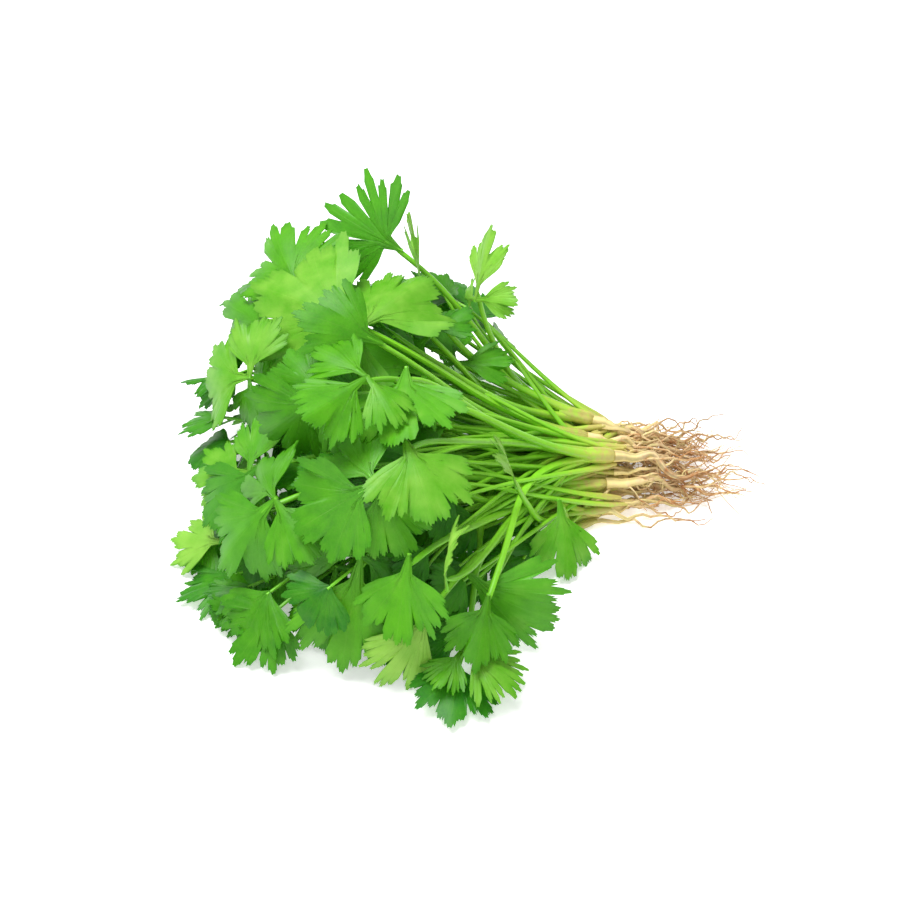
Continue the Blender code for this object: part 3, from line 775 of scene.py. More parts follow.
def settle_leaflets(rng, placed, node, along, face, shape, loose):
    """The leaflets of one leaf, each bent until it lies clear, or None where one can't."""
    start = node - along * NECK_SINK
    leaves, blades = [], []
    for number in range(shape[1]):
        for attempt in range(LEAFLET_TRIES):
            bend = max(loose, attempt / LEAFLET_TRIES)
            aims = leaflet_aims(rng, node, along, face, shape, bend)
            base, out, size, width = aims[number]
            side = face + wobble(rng, AIM_SHIFT * bend)
            leaf = grow_leaflet(rng, base, out, side, size, width)
            blade = tree_of(leaflet_solid(leaf, leaf["base"], CLEARANCE))
            if lowest_edge(leaf) < 0 or any(crosses(blade, other) for other in blades):
                continue
            if clear_of(leaflet_solid(leaf, start, CLEARANCE), "leaflet", placed):
                leaves.append(leaf)
                blades.append(blade)
                break
        if len(leaves) <= number:
            return None
    return {"node": node, "along": along, "leaves": leaves, "blades": blades}


def settle_stalk(rng, plants, placed, frond):
    """A stalk to a leaf from one of the plants that suit it best, or None where none lies clear."""
    choices = best_plants(plants, frond["node"])[:STALK_CHOICES]
    for route in range(STALK_ROUTES):
        number = choices[route % len(choices)]
        loose = route / STALK_ROUTES
        ends = stalk_ends(rng, plants[number], frond["node"], frond["along"], loose)
        path = laid_line(ends, STALK_STEPS, STALK_BASE_RADIUS)
        tree = tree_of(stalk_solid(path))
        if any(crosses(tree, blade) for blade in frond["blades"]):
            continue
        if clear_of(stalk_solid(path, CLEARANCE), ("green", number), placed):
            placed.append((("green", number), tree))
            return number, path, ends
    return None


def settle_frond(rng, plants, placed, aim, tries):
    """Tries a leaf at its aim, ever more loosely, until it and a stalk from some plant lie clear."""
    node, tip, face, leaflets, width = aim
    length = max((tip - node).length, SHORTEST_LEAF)
    for attempt in range(tries):
        loose = attempt / tries
        place = node + wobble(rng, NODE_SHIFT * loose)
        place.z = max(place.z, LOWEST_NODE)
        along = ((tip - node).normalized() + wobble(rng, AIM_SHIFT * loose)).normalized()
        side = square_to(face + wobble(rng, AIM_SHIFT * loose), along)
        shape = (length, leaflets, width)
        ease = LEAFLET_EASE * loose
        frond = settle_leaflets(rng, placed, place, along, side, shape, ease)
        stalk = frond and settle_stalk(rng, plants, placed, frond)
        if stalk:
            number, frond["path"], frond["ends"] = stalk
            placed.extend((None, tree_of(solid)) for solid in leaflet_solids(frond))
            plants[number]["fronds"].append(frond)
            return frond
    return None


def heap_places():
    """Places spread evenly over the heap's dome, but for its front and where the stalks come in."""
    found = []
    for number in range(HEAP_PLACES):
        rise = (number + 0.5) / HEAP_PLACES
        level = math.sqrt(1 - rise * rise)
        turn = number * GOLDEN_ANGLE
        out = Vector((level * math.cos(turn), level * math.sin(turn), rise))
        if out.x < HEAP_OPEN_SIDE and out.y > HEAP_FRONT:
            found.append(out)
    return found


def heap_spot(out):
    """The spot in this direction where a leaf of the heap starts, further in near the table."""
    inset = blend(HEAP_FOOT, 1, out.z)
    return HEAP_MIDDLE + Vector([out[k] * HEAP_RADII[k] * inset for k in range(3)])


def fill_heap(rng, plants, placed):
    """Adds leaves to the heap, each where it is barest, facing out with its tip hanging down."""
    spots = heap_places()
    fronds = [frond for plant in plants for frond in plant["fronds"]]
    middles = [leaf["base"] for frond in fronds for leaf in frond["leaves"]]
    wanted = HEAP_FRONDS
    while wanted and spots:
        gaps = [min((heap_spot(out) - middle).length for middle in middles) for out in spots]
        out = spots.pop(gaps.index(max(gaps)))
        place = heap_spot(out)
        away = (place - CROWN_MIDDLE).normalized() - Vector((0, 0, HEAP_HANG))
        tip = place + square_to(away, out) * HEAP_LEAF_LENGTH
        if any(
            settle_frond(rng, plants, placed, (place, tip, out, leaflets, HEAP_WIDTH), HEAP_TRIES)
            for leaflets in (3, 1)
        ):
            middles.append(place)
            wanted -= 1


def grow_leaves(plants, placed):
    """Every plant's leaves: first the leaves that show, then those of the heap."""
    rng = random.Random(SEED)
    for name, (node, tip, face, leaflets, width, tone) in SHOWN_FRONDS.items():
        aim = (Vector(node) * MM, Vector(tip) * MM, heading(*face), leaflets, width)
        frond = settle_frond(rng, plants, placed, aim, FROND_TRIES)
        if frond:
            # The tone is partly the leaf's own green and partly painted light and shade.
            frond["tone"] = tone
            frond["cut"] = DEEP_CUTS.get(name, 0)
    fill_heap(rng, plants, placed)


def grow_root(rng, plant, loose):
    """The line of a taproot, from its crown on along the table's plane, sinking to it."""
    start = plant["seat"] - plant["axis"] * CLEARANCE
    length = rng.uniform(*ROOT_LENGTHS)
    sideways = (plant["seat"].y - CROWN_MIDDLE.y) * rng.uniform(*ROOT_DRIFT)
    end = start + Vector((length, sideways, -ROOT_FALL * start.z))
    end = end + wobble(rng, blend(*ROOT_SHIFT, loose))
    first = start - plant["axis"] * length * ROOT_HANDLE
    second = end - Vector((length * ROOT_HANDLE, 0, 0)) + wobble(rng, ROOT_BEND)
    return start, first, second, end


def taproot_solid(path, extra=0):
    """A taproot, thinner towards its tip, as points and faces, grown by extra."""
    steps = [k / ROOT_STEPS for k in range(ROOT_STEPS + 1)]
    radii = [blend(ROOT_RADIUS, ROOT_TIP_RADIUS, t**ROOT_TAPER) + extra for t in steps]
    return tube(path, radii, ROOT_SIDES)


def grow_rootlet(rng, path):
    """The line of a side root, from inside the taproot out and on."""
    k = rng.randrange(1, ROOT_STEPS)
    start = path[k]
    onward = (path[k + 1] - path[k - 1]).normalized()
    out = square_to(wobble(rng, 1), onward)
    length = rng.uniform(*ROOTLET_LENGTHS)
    ends = [start]
    for third, sideways in enumerate(ROOTLET_OUT, 1):
        way = onward * third / 3 + out * sideways
        ends.append(start + way * length + wobble(rng, ROOTLET_BEND * third / 3))
    return ends


def rootlet_solid(line, extra=0):
    """A side root, as points and faces, grown by extra."""
    radii = [ROOTLET_RADIUS * (1 - ROOTLET_TAPER * k) + extra for k in range(ROOTLET_STEPS + 1)]
    return tube(line, radii, ROOTLET_SIDES)


def grow_roots(plants, placed):
    """Every plant's taproot, then its side roots, each where it lies clear of the others."""
    rng = random.Random(SEED)
    for number, plant in enumerate(plants):
        group = ("root", number)
        for attempt in range(ROOT_TRIES):
            ends = grow_root(rng, plant, attempt / ROOT_TRIES)
            path = laid_line(ends, ROOT_STEPS, ROOT_RADIUS)
            if clear_of(taproot_solid(path, CLEARANCE), group, placed):
                break
        plant["root"], plant["root_ends"] = path, ends
        plant["rootlets"], plant["rootlet_ends"] = [], []
        placed.append((group, tree_of(taproot_solid(path))))
    for number, plant in enumerate(plants):
        group = ("root", number)
        for _ in range(ROOT_TRIES):
            ends = grow_rootlet(rng, plant["root"])
            line = laid_line(ends, ROOTLET_STEPS, ROOTLET_RADIUS)
            if clear_of(rootlet_solid(line, CLEARANCE), group, placed):
                plant["rootlets"].append(line)
                plant["rootlet_ends"].append(ends)
                placed.append((group, tree_of(rootlet_solid(line))))
            if len(plant["rootlets"]) == ROOTLETS:
                break


def grow_bunch():
    """All plants, each with its crown, leaves, taproot and side roots."""
    plants = grow_crowns()
    placed = [(("green", k), tree_of(crown_solid(plant))) for k, plant in enumerate(plants)]
    grow_roots(plants, placed)
    grow_leaves(plants, placed)
    return plants, placed


def plant_solids(plant):
    """The closed solids that make up a plant's green top, its crown first."""
    solids = [crown_solid(plant)]
    for frond in plant["fronds"]:
        solids += [stalk_solid(frond["path"])] + leaflet_solids(frond)
    return solids


def root_solids(plant):
    """The closed solids that make up a plant's root, the taproot first."""
    return [taproot_solid(plant["root"])] + [rootlet_solid(line) for line in plant["rootlets"]]


def bunch_middle(plants):
    """The point under the middle of the finished bunch."""
    solids = [solid for plant in plants for solid in plant_solids(plant) + root_solids(plant)]
    low, high = corners([point for points, _ in solids for point in points])
    return Vector(((low[0] + high[0]) / 2, (low[1] + high[1]) / 2, 0))


def lengths_along(path):
    """How far along a line each of its points is."""
    found = [0.0]
    for before, after in zip(path, path[1:]):
        found.append(found[-1] + (after - before).length)
    return found


def taper(first, last, count, power=1):
    """Radii from the first to the last, in as many steps as a line has points."""
    return [blend(first, last, (k / (count - 1)) ** power) for k in range(count)]


def meander(rng, path, size):
    """A line with small random bends, none at its start and the most at its end."""
    phases = [rng.uniform(0, 2 * math.pi) for _ in range(6)]
    bent = []
    for k, (place, (up, side)) in enumerate(zip(path, frames_along(path))):
        t = k / (len(path) - 1)
        sway = [
            sum(math.sin(ROOT_WAVES * t * turn + phases[3 * j + turn - 1]) / turn for turn in (1, 2, 3))
            for j in (0, 1)
        ]
        bent.append(place + (up * sway[0] + side * sway[1]) * (size * min(1, 3 * t)))
    return bent


def linear(hex_colour):
    """An sRGB hex colour as linear red, green and blue."""
    parts = [int(hex_colour[i : i + 2], 16) / 255 for i in (1, 3, 5)]
    return tuple(c / 12.92 if c <= 0.04045 else ((c + 0.055) / 1.055) ** 2.4 for c in parts)


def add(tree, kind, inputs=(), stops=(), **settings):
    """A new node with these settings. An input is a value, or the node or socket that feeds it.

    The stops are a ramp's colours, each after its position.
    """
    node = tree.nodes.new(kind)
    for name, value in settings.items():
        setattr(node, name, value)
    for _ in stops[2:]:
        node.color_ramp.elements.new(0.5)
    for number, (position, colour) in enumerate(stops):
        node.color_ramp.elements[number].position = position
        node.color_ramp.elements[number].color = (*colour, 1)
    for name, value in inputs.items() if isinstance(inputs, dict) else enumerate(inputs):
        socket = node.inputs[name]
        if isinstance(value, bpy.types.Node):
            value = value.outputs[0]
        if isinstance(value, bpy.types.NodeSocket):
            tree.links.new(value, socket)
        elif socket.type == "RGBA":
            socket.default_value = (*value, 1)
        else:
            socket.default_value = value
    return node


def start_material(name, attributes=()):
    """A new material and its empty tree, then what reads each of these attributes of a mesh."""
    material = bpy.data.materials.new(name)
    material.use_nodes = True
    tree = material.node_tree
    tree.nodes.clear()
    nodes = [add(tree, "ShaderNodeAttribute", attribute_name=each) for each in attributes]
    return material, tree, *(node.outputs["Fac"] for node in nodes)


def deselect():
    bpy.ops.object.select_all(action="DESELECT")


def pick(piece):
    """Selects this object alone."""
    deselect()
    piece.select_set(True)
    bpy.context.view_layer.objects.active = piece


def own_copy(pattern, name):
    """A copy of a pattern with a mesh of its own."""
    piece = pattern.copy()
    piece.data = pattern.data.copy()
    piece.name = name
    bpy.context.scene.collection.objects.link(piece)
    return piece


def discard(*patterns):
    """Removes the patterns once all copies are made."""
    for pattern in patterns:
        mesh = pattern.data
        bpy.data.objects.remove(pattern, do_unlink=True)
        bpy.data.meshes.remove(mesh)


def set_attributes(piece, values):
    """Gives each point of a mesh its own values, under names that materials read."""
    for name, numbers in values.items():
        attribute = piece.data.attributes.new(name, "FLOAT", "POINT")
        attribute.data.foreach_set("value", numbers)


def thicken(piece, thickness):
    """Gives a sheet its thickness, with its second material underneath."""
    wall = piece.modifiers.new("thickness", "SOLIDIFY")
    wall.thickness = thickness
    wall.offset = 0
    wall.material_offset = 1
    wall.material_offset_rim = 0
    bpy.ops.object.modifier_apply(modifier=wall.name)


def finish(parts, name, node=None, thickness=0):
    """These parts as one piece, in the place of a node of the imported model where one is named."""
    pick(parts[0])
    for part in parts:
        part.select_set(True)
    if len(parts) > 1:
        bpy.ops.object.join()
    piece = parts[0]
    piece.name = name
    piece.data.name = name
    pick(piece)
    if thickness:
        thicken(piece, thickness)
    angle = LEAF_SMOOTHNESS if thickness else TUBE_SMOOTHNESS
    bpy.ops.object.shade_smooth_by_angle(angle=math.radians(angle))
    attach(piece, "root")
    if node:
        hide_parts(node)


def model_tube(sides, steps, skin):
    """A straight tube one unit long, a disc drawn up step by step, to be copied and bent."""
    deselect()
    bpy.ops.mesh.primitive_circle_add(vertices=sides, radius=1, fill_type="NGON")
    bpy.ops.object.mode_set(mode="EDIT")
    bpy.ops.mesh.select_all(action="SELECT")
    for _ in range(steps):
        bpy.ops.mesh.extrude_region_move(TRANSFORM_OT_translate={"value": (0, 0, 1 / steps)})
    bpy.ops.mesh.select_all(action="SELECT")
    bpy.ops.mesh.normals_make_consistent(inside=False)
    bpy.ops.object.mode_set(mode="OBJECT")
    pattern = bpy.context.view_layer.objects.active
    pattern.data.materials.append(skin)
    return pattern


def lay_tube(pattern, name, path, radii, rises, rng, ribs=0.0, groove=0.0):
    """A copy of the straight tube laid along a line, ribbed lengthwise, and grooved on top."""
    piece = own_copy(pattern, name)
    for place, radius in zip(path, radii):
        place.z = max(place.z, radius)
    frames = frames_along(path)
    steps = len(path) - 1
    tints = {}
    rise, streak = [], []
    for vertex in piece.data.vertices:
        k = round(vertex.co.z * steps)
        turn = round(math.degrees(math.atan2(vertex.co.y, vertex.co.x)))
        if turn not in tints:
            tints[turn] = (rng.random(), rng.uniform(-ribs, ribs))
        up, side = frames[k]
        dent = groove * max(0, math.cos(math.radians(turn))) ** GROOVE_SHARPNESS
        swell = 1 + tints[turn][1] - dent
        place = path[k] + (up * vertex.co.x + side * vertex.co.y) * (radii[k] * swell)
        place.z = max(place.z, FLOOR_GAP)
        vertex.co = place - MIDDLE
        rise.append(rises[k])
        streak.append(tints[turn][0])
    set_attributes(piece, {"rise": rise, "streak": streak})
    return piece


def round_end(radii):
    """Draws in the first rings of a tube, so that it doesn't end as if it were cut."""
    for k, share in enumerate(ROUNDED_END):
        radii[k] *= share


def model_blade(rings, skins):
    """A flat sheet of rays and rings, to be copied, cut and bent for each leaflet."""
    deselect()
    rays = 2 * (len(SMALL_TOOTH) - 1) * (len(TEETH) - 1)
    bpy.ops.mesh.primitive_grid_add(x_subdivisions=rays, y_subdivisions=rings, size=1)
    sheet = bpy.context.view_layer.objects.active
    for skin in skins:
        sheet.data.materials.append(skin)
    return sheet


def tooth_edge(rng, leaf, deeper):
    """The rays of a blade from one side to the other: the share, reach and tip share of each."""
    rays = []
    parts = len(SMALL_TOOTH) - 1
    cut = rng.uniform(0, EXTRA_CUT) + deeper
    cleft = leaf["cleft"] + (0 if deeper else CLEFT_EASE)
    for side in (-1, 1):
        points = []
        for number, (share, depth) in enumerate(TEETH):
            if 0 < number < len(TEETH) - 1:
                share += rng.uniform(-TOOTH_SHIFT, TOOTH_SHIFT)
            depth = cleft if depth is None else depth * rng.uniform(*TOOTH_DEPTHS)
            points.append((share, depth - number % 2 * cut))
        if side > 0:
            points[0] = middle
        middle = points[0]
        half = []
        for number in range(len(points) - 1):
            (share, depth), (next_share, next_depth) = points[number : number + 2]
            size = rng.uniform(*SMALL_TOOTH_SIZES)
            tip, notch = (depth, next_depth) if number % 2 == 0 else (next_depth, depth)
            roundness = CLEFT_STEEPNESS if notch < CLEFT_LEVEL - cut else TOOTH_ROUNDNESS
            for part in range(parts):
                rise = parts - part if number % 2 == 0 else part
                height = math.sin(rise / parts * math.pi / 2) ** roundness
                place = blend(share, next_share, part / parts)
                reach = blend(notch, tip, height) + SMALL_TOOTH[rise] * size
                half.append((side * place, reach, rise / parts))
        half.append((side * points[-1][0], points[-1][1], 0))
        rays += half[:0:-1] if side < 0 else half
    return rays


def lobe_of(share):
    """The number of the lobe that a share of the half angle lies in, and its main vein's share."""
    side = -1 if share < 0 else 1
    for number, (vein, end) in enumerate(LOBES):
        if abs(share) < end:
            break
    return side * number, side * vein


def shape_blade(pattern, name, leaf, tone, rng, deeper=0.0, node=None):
    """A copy of the flat blade, cut and bent to one leaflet, its base drawn out to the node."""
    piece = own_copy(pattern, name)
    rays = tooth_edge(rng, leaf, deeper)
    cool = rng.random() ** 2 * (1 - tone) * COOL_SHARE
    tilts = {number: rng.uniform(-LOBE_TILT, LOBE_TILT) for number in range(-2, 3)}
    curls = [rng.uniform(-TOOTH_CURL, TOOTH_CURL) for _ in rays]
    veins, rims = [], []
    for vertex in piece.data.vertices:
        ray = len(rays) - 1 - round((vertex.co.x + 0.5) * (len(rays) - 1))
        ring = blend(BLADE_START, 1, vertex.co.y + 0.5)
        share, edge, tip = rays[ray]
        lobe, vein = lobe_of(share)
        if 0 < ray < len(rays) - 1 and edge > VEIN_GATHER_EDGE:
            gather = blend(VEIN_GATHER, 1, min(1, ring / VEIN_GATHER_REACH))
            share = vein + (share - vein) * gather
        angle = share * FAN_HALF_ANGLE * (1 - WEDGE_NARROWING * (1 - ring) ** 2)
        reach = ring * edge * edge_reach(leaf, share)
        place, normal = blade_place(leaf, angle, reach)
        lift = VEIN_SINK * (1 - tip) * ring * (VEIN_SINK_REACH - ring)
        lift += tilts[lobe] * leaf["length"] * max(0, reach - LOBE_TILT_START)
        curl = max(0, ring - TOOTH_CURL_START) / (1 - TOOTH_CURL_START)
        lift += curls[ray // (2 * len(SMALL_TOOTH))] * curl
        place = place + normal * lift
        if node and vertex.co.y < FIRST_RING_END:
            place = node + leaf["across"] * (share * WING_WIDTH) + leaf["face"] * WING_RISE
        place.z = max(place.z, FLOOR_GAP)
        vertex.co = place - MIDDLE
        main = abs(rays[ray][0] - vein) < MAIN_VEIN_REACH
        strength = (1.0 if main else SIDE_VEIN) * (1 - VEIN_FADE * ring)
        veins.append(strength if tip == 1 and ring < VEIN_END else 0.0)
        rims.append(ring)
    count = len(rims)
    values = {"tone": [tone] * count, "cool": [cool] * count, "vein": veins, "rim": rims}
    set_attributes(piece, values)
    return piece


def check_places():
    """Stops if the plants grown here aren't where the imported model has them."""
    for number, plant in enumerate(PLANTS, 1):
        for name, solids in (("plant", plant_solids(plant)), ("root", root_solids(plant))):
            grown = corners([point - MIDDLE for points, _ in solids for point in points])
            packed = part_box(f"{name}_{number:02d}")
            apart = max(abs(a - b) for ends in zip(grown, packed) for a, b in zip(*ends))
            if apart > PLACE_TOLERANCE:
                raise RuntimeError(f"{name} {number} isn't where the packed model has it")


def inside_heap(place):
    """Whether a place lies in the heap of leaves, or in the wedge between it and the crowns."""
    near = min(1, max(0, (place.x - WEDGE_START) / (WEDGE_END - WEDGE_START)))
    back = min(0, (place.x - HEAP_MIDDLE.x) / HEAP_RADII.x)
    ahead = min(1, max(0, (place.x - HEAP_MIDDLE.x) / (WEDGE_START - HEAP_MIDDLE.x)))
    roundness = math.sqrt(max(0, 1 - back * back))
    middle = blend(HEAP_MIDDLE.y, CROWN_MIDDLE.y, near)
    width = blend(HEAP_RADII.y, WEDGE_HALF_WIDTH, near) * roundness
    height = blend(blend(HEAP_RADII.z, HEAP_NEAR_HEIGHT, ahead), WEDGE_HEIGHT, near) * roundness
    return ((place.y - middle) ** 2 / width**2 + place.z**2 / height**2 < 1) if roundness else False


def seedling_seat(rng, plants):
    """Where a seedling's stalk meets its root, between the crowns, and which way it sets out."""
    while True:
        sideways = rng.uniform(-SEAT_REACH, SEAT_REACH) * BUNDLE_HALF_WIDTH
        rise = rng.uniform(SEEDLING_BASE_RADIUS, BUNDLE_HEIGHT + CROWN_RADIUS)
        shift = rng.uniform(-SEEDLING_SEAT_SHIFT, SEEDLING_SEAT_SHIFT)
        seat = CROWN_MIDDLE + Vector((shift, sideways, rise))
        aside = [math.hypot(seat.y - plant["seat"].y, seat.z - plant["seat"].z) for plant in plants]
        within = BUNDLE_HALF_WIDTH * (SEAT_SLOPE - rise / BUNDLE_HEIGHT)
        if min(aside) > CROWN_RADIUS and abs(sideways) < within:
            axis = Vector((-1, CROWN_SPLAY * sideways / BUNDLE_HALF_WIDTH, CROWN_TILT))
            return seat, axis.normalized()


def seedling_leaf(rng, placed, place):
    """A single leaf at a place inside the heap, or None where it can't lie clear."""
    for _ in range(SEEDLING_TRIES):
        away = (place - CROWN_MIDDLE).normalized() - Vector((0, 0, SEEDLING_HANG))
        outward = (place - HEAP_MIDDLE).normalized() + Vector((0, 0, 1))
        along = away + wobble(rng, SEEDLING_SPREAD)
        face = outward + wobble(rng, SEEDLING_SPREAD)
        length, width = rng.uniform(*SEEDLING_LEAVES), rng.uniform(*SEEDLING_WIDTHS)
        leaf = grow_leaflet(rng, place.copy(), along, face, length, width)
        solid = leaflet_solid(leaf, leaf["base"], CLEARANCE)
        if lowest_edge(leaf) >= 0 and clear_of(solid, "seedling", placed):
            return leaf
    return None


def seedling_stalk(rng, plants, placed, leaf):
    """The seat and the line of the stalk that crosses no blade and the fewest other stalks."""
    best = None
    for route in range(SEEDLING_ROUTES):
        seat, axis = seedling_seat(rng, plants)
        handle = (leaf["base"] - seat).length * STALK_HANDLE
        loose = SEEDLING_BULGE * route / SEEDLING_ROUTES
        straight = (leaf["base"] - seat).normalized()
        first = seat + blend(axis, straight, SEEDLING_STRAIGHT) * handle + wobble(rng, loose)
        second = leaf["base"] - (leaf["along"] + straight) * handle / 2
        ends = (seat, first, second + wobble(rng, loose), leaf["base"])
        path = laid_line(ends, STALK_STEPS, SEEDLING_BASE_RADIUS)
        radii = [SEEDLING_TIP_RADIUS] * len(path)
        tree = tree_of(tube(path[:-1], radii, SEEDLING_SIDES))
        crossed = [group for group, other in placed if crosses(tree, other)]
        if any(group is None or group == "seedling" for group in crossed):
            continue
        if best is None or len(crossed) < best[0]:
            best = (len(crossed), seat, ends, tree)
        if not crossed:
            break
    return best


def leaf_middle(leaf):
    """The middle of a leaflet, halfway from its base to its tip."""
    return leaf["base"] + leaf["along"] * leaf["length"] / 2


def grow_seedlings(plants, placed):
    """Thin plants of one leaf each, the leaves where the heap is barest."""
    rng = random.Random(SEED)
    spots = []
    low, high = HEAP_MIDDLE - HEAP_RADII, HEAP_MIDDLE + HEAP_RADII
    spans = ((low.x, WEDGE_END), (low.y, high.y), (LOWEST_NODE, high.z))
    while len(spots) < SEEDLING_PLACES:
        spot = Vector([rng.uniform(*span) for span in spans])
        if inside_heap(spot):
            spots.append(spot)
    fronds = [frond for plant in plants for frond in plant["fronds"]]
    middles = [leaf_middle(leaf) for frond in fronds for leaf in frond["leaves"]]
    gaps = [min((spot - middle).length for middle in middles) for spot in spots]
    found = []
    wanted = [Vector(spot) * MM for spot in SEEDLING_SPOTS]
    while len(found) < SEEDLINGS and spots:
        if wanted:
            spot = wanted.pop()
        else:
            barest = gaps.index(max(gaps))
            gaps.pop(barest)
            spot = spots.pop(barest)
        leaf = seedling_leaf(rng, placed, spot)
        stalk = leaf and seedling_stalk(rng, plants, placed, leaf)
        if not stalk:
            continue
        placed.append(("seedling", tree_of(leaflet_solid(leaf, leaf["base"]))))
        placed.append(("seedling_stalk", stalk[3]))
        found.append({"leaf": leaf, "seat": stalk[1], "ends": stalk[2]})
        middle = leaf_middle(leaf)
        gaps = [min(gap, (other - middle).length) for gap, other in zip(gaps, spots)]
    return found


def young_groups():
    """The seedlings, in groups that each make one piece."""
    starts = range(0, len(YOUNG_PLANTS), SEEDLINGS_PER_PIECE)
    return [YOUNG_PLANTS[start : start + SEEDLINGS_PER_PIECE] for start in starts]


PLANTS, PLACED = grow_bunch()
MIDDLE = bunch_middle(PLANTS)
YOUNG_PLANTS = grow_seedlings(PLANTS, PLACED)


def blade_material(name, look, stops, cool_colour, roughness):
    """A fresh coriander blade: waxy skin over soft green tissue.

    Veins and the fine net between them catch the eye, the tissue between them is mottled, and
    light from behind shines through.
    """
    material, tree, *attributes = start_material(name, ("tone", "cool", "vein", "rim"))
    tone, cool, vein, rim = attributes
    where = add(tree, "ShaderNodeTexCoord").outputs["Object"]
    mottle = add(
        tree, "ShaderNodeTexNoise", {"Vector": where, "Scale": 1 / MOTTLE_SIZE, "Detail": 3.0}
    )
    patch = add(tree, "ShaderNodeMapRange", (mottle, *MOTTLE_RANGE))
    # The tone holds painted light and shade as well as the leaf's own green.
    level = add(tree, "ShaderNodeMath", (tone, patch), operation="ADD")
    colour = add(tree, "ShaderNodeValToRGB", (level,), list(zip((0, 0.5, 1), stops)))
    cooler = add(tree, "ShaderNodeMath", (cool, COOL_MIX), operation="MULTIPLY")
    edge = add(tree, "ShaderNodeMapRange", (rim, *RIM_RANGE))
    line = add(tree, "ShaderNodeMath", (vein, VEIN_SHARPNESS), operation="POWER")
    cells = add(
        tree, "ShaderNodeTexVoronoi", {"Vector": where, "Scale": 1 / NET_SIZE},
        feature="DISTANCE_TO_EDGE",
    )
    net = add(tree, "ShaderNodeMapRange", (cells, *NET_RANGE))
    lines = add(tree, "ShaderNodeMath", (line, net), operation="MAXIMUM")
    veined = add(tree, "ShaderNodeMath", (lines, VEIN_MIX), operation="MULTIPLY")
    for share, over in ((cooler, cool_colour), (edge, stops[0]), (veined, look.vein)):
        mixed = add(tree, "ShaderNodeMix", {0: share, 6: colour, 7: over}, data_type="RGBA")
        colour = mixed.outputs[2]
    bump = add(
        tree, "ShaderNodeBump", {"Height": lines, "Distance": VEIN_DEPTH, "Strength": 0.7},
        invert=True,
    )
    skin = add(
        tree, "ShaderNodeBsdfPrincipled",
        {
            "Base Color": colour, "Roughness": roughness, "Specular IOR Level": WAX_GLOSS,
            "Normal": bump,
        },
    )
    through = add(tree, "ShaderNodeBsdfTranslucent", {"Color": look.glow, "Normal": bump})
    both = add(tree, "ShaderNodeMixShader", (GLOW_SHARE, skin, through))
    add(tree, "ShaderNodeOutputMaterial", {"Surface": both})
    return material


def ramp_material(name, look, stops, streaks, roughness, depth, grain, wander):
    """Plant skin that changes colour along its length, with fine lengthwise streaks.

    The stops are the names of colours and their distances from the crown. Streaks and wander are
    how far lightness and the place along the stops vary, depth and grain are the bumps' sizes.
    """
    material, tree, rise, streak = start_material(name, ("rise", "streak"))
    where = add(tree, "ShaderNodeTexCoord").outputs["Object"]
    noise = add(tree, "ShaderNodeTexNoise", {"Vector": where, "Scale": 1 / grain, "Detail": 4.0})
    far = stops[-1][1]
    shift = add(tree, "ShaderNodeMapRange", (noise, *WANDER_RANGE, -wander, wander))
    level = add(tree, "ShaderNodeMath", (rise, far), operation="DIVIDE")
    place = add(tree, "ShaderNodeMath", (level, shift), operation="ADD")
    places = [(distance / far, getattr(look, colour)) for colour, distance in stops]
    ramp = add(tree, "ShaderNodeValToRGB", (place,), places)
    mixed = add(tree, "ShaderNodeMath", (streak, noise), operation="ADD")
    light = add(tree, "ShaderNodeMapRange", (mixed, *STREAK_RANGE, 1 - streaks, 1 + streaks))
    shade = add(
        tree, "ShaderNodeMix", {0: 1.0, 6: ramp, 7: light}, data_type="RGBA", blend_type="MULTIPLY"
    )
    bump = add(tree, "ShaderNodeBump", {"Height": noise, "Distance": depth, "Strength": 0.8})
    skin = add(
        tree, "ShaderNodeBsdfPrincipled",
        {"Base Color": shade.outputs[2], "Roughness": roughness, "Normal": bump},
    )
    add(tree, "ShaderNodeOutputMaterial", {"Surface": skin})
    return material


def colour_setting(name, hex_colour, description):
    """A colour that the user can change."""
    return bpy.props.FloatVectorProperty(
        name=name, description=description, default=linear(hex_colour), subtype="COLOR"
    )


class LeafSettings(bpy.types.PropertyGroup):
    thickness: bpy.props.FloatProperty(
        name="Thickness", description="How thick a blade is", default=0.3 * MM, unit="LENGTH"
    )
    shade: colour_setting("Shade green", "#186E08", "The darkest leaves and the tips of the teeth")
    middle: colour_setting("Middle green", "#5FB214", "Most leaves")
    # The bright green also serves as painted light on leaves given a high tone.
    bright: colour_setting("Bright green", "#AEE25C", "Young leaves")
    vein: colour_setting("Vein green", "#B4E468", "Veins")
    cool: colour_setting("Cool green", "#3F9E40", "The tint of the bluer leaves")
    under: colour_setting("Underside green", "#86C848", "The paler underside")
    glow: colour_setting("Glow", "#84D80C", "Light that comes through a blade")


class StalkSettings(bpy.types.PropertyGroup):
    green: colour_setting("Stalk green", "#7EC626", "The upper part of a stalk")
    tip: colour_setting("Tip", "#6FC022", "Where a stalk meets its leaflets")
    foot: colour_setting("Foot", "#A6CA40", "The yellow-green foot of a stalk")
    crown: colour_setting("Crown", "#C2B862", "The pale tan crown")


class RootSettings(bpy.types.PropertyGroup):
    collar: colour_setting("Collar", "#E2CE8C", "The thick end of a taproot")
    skin: colour_setting("Skin", "#DCC292", "The brown skin of a root")
    tip: colour_setting("Tip", "#A8703E", "The reddish ends")
    hairs: bpy.props.IntProperty(
        name="Hairs", description="Fine roots on each taproot", default=14, min=0
    )


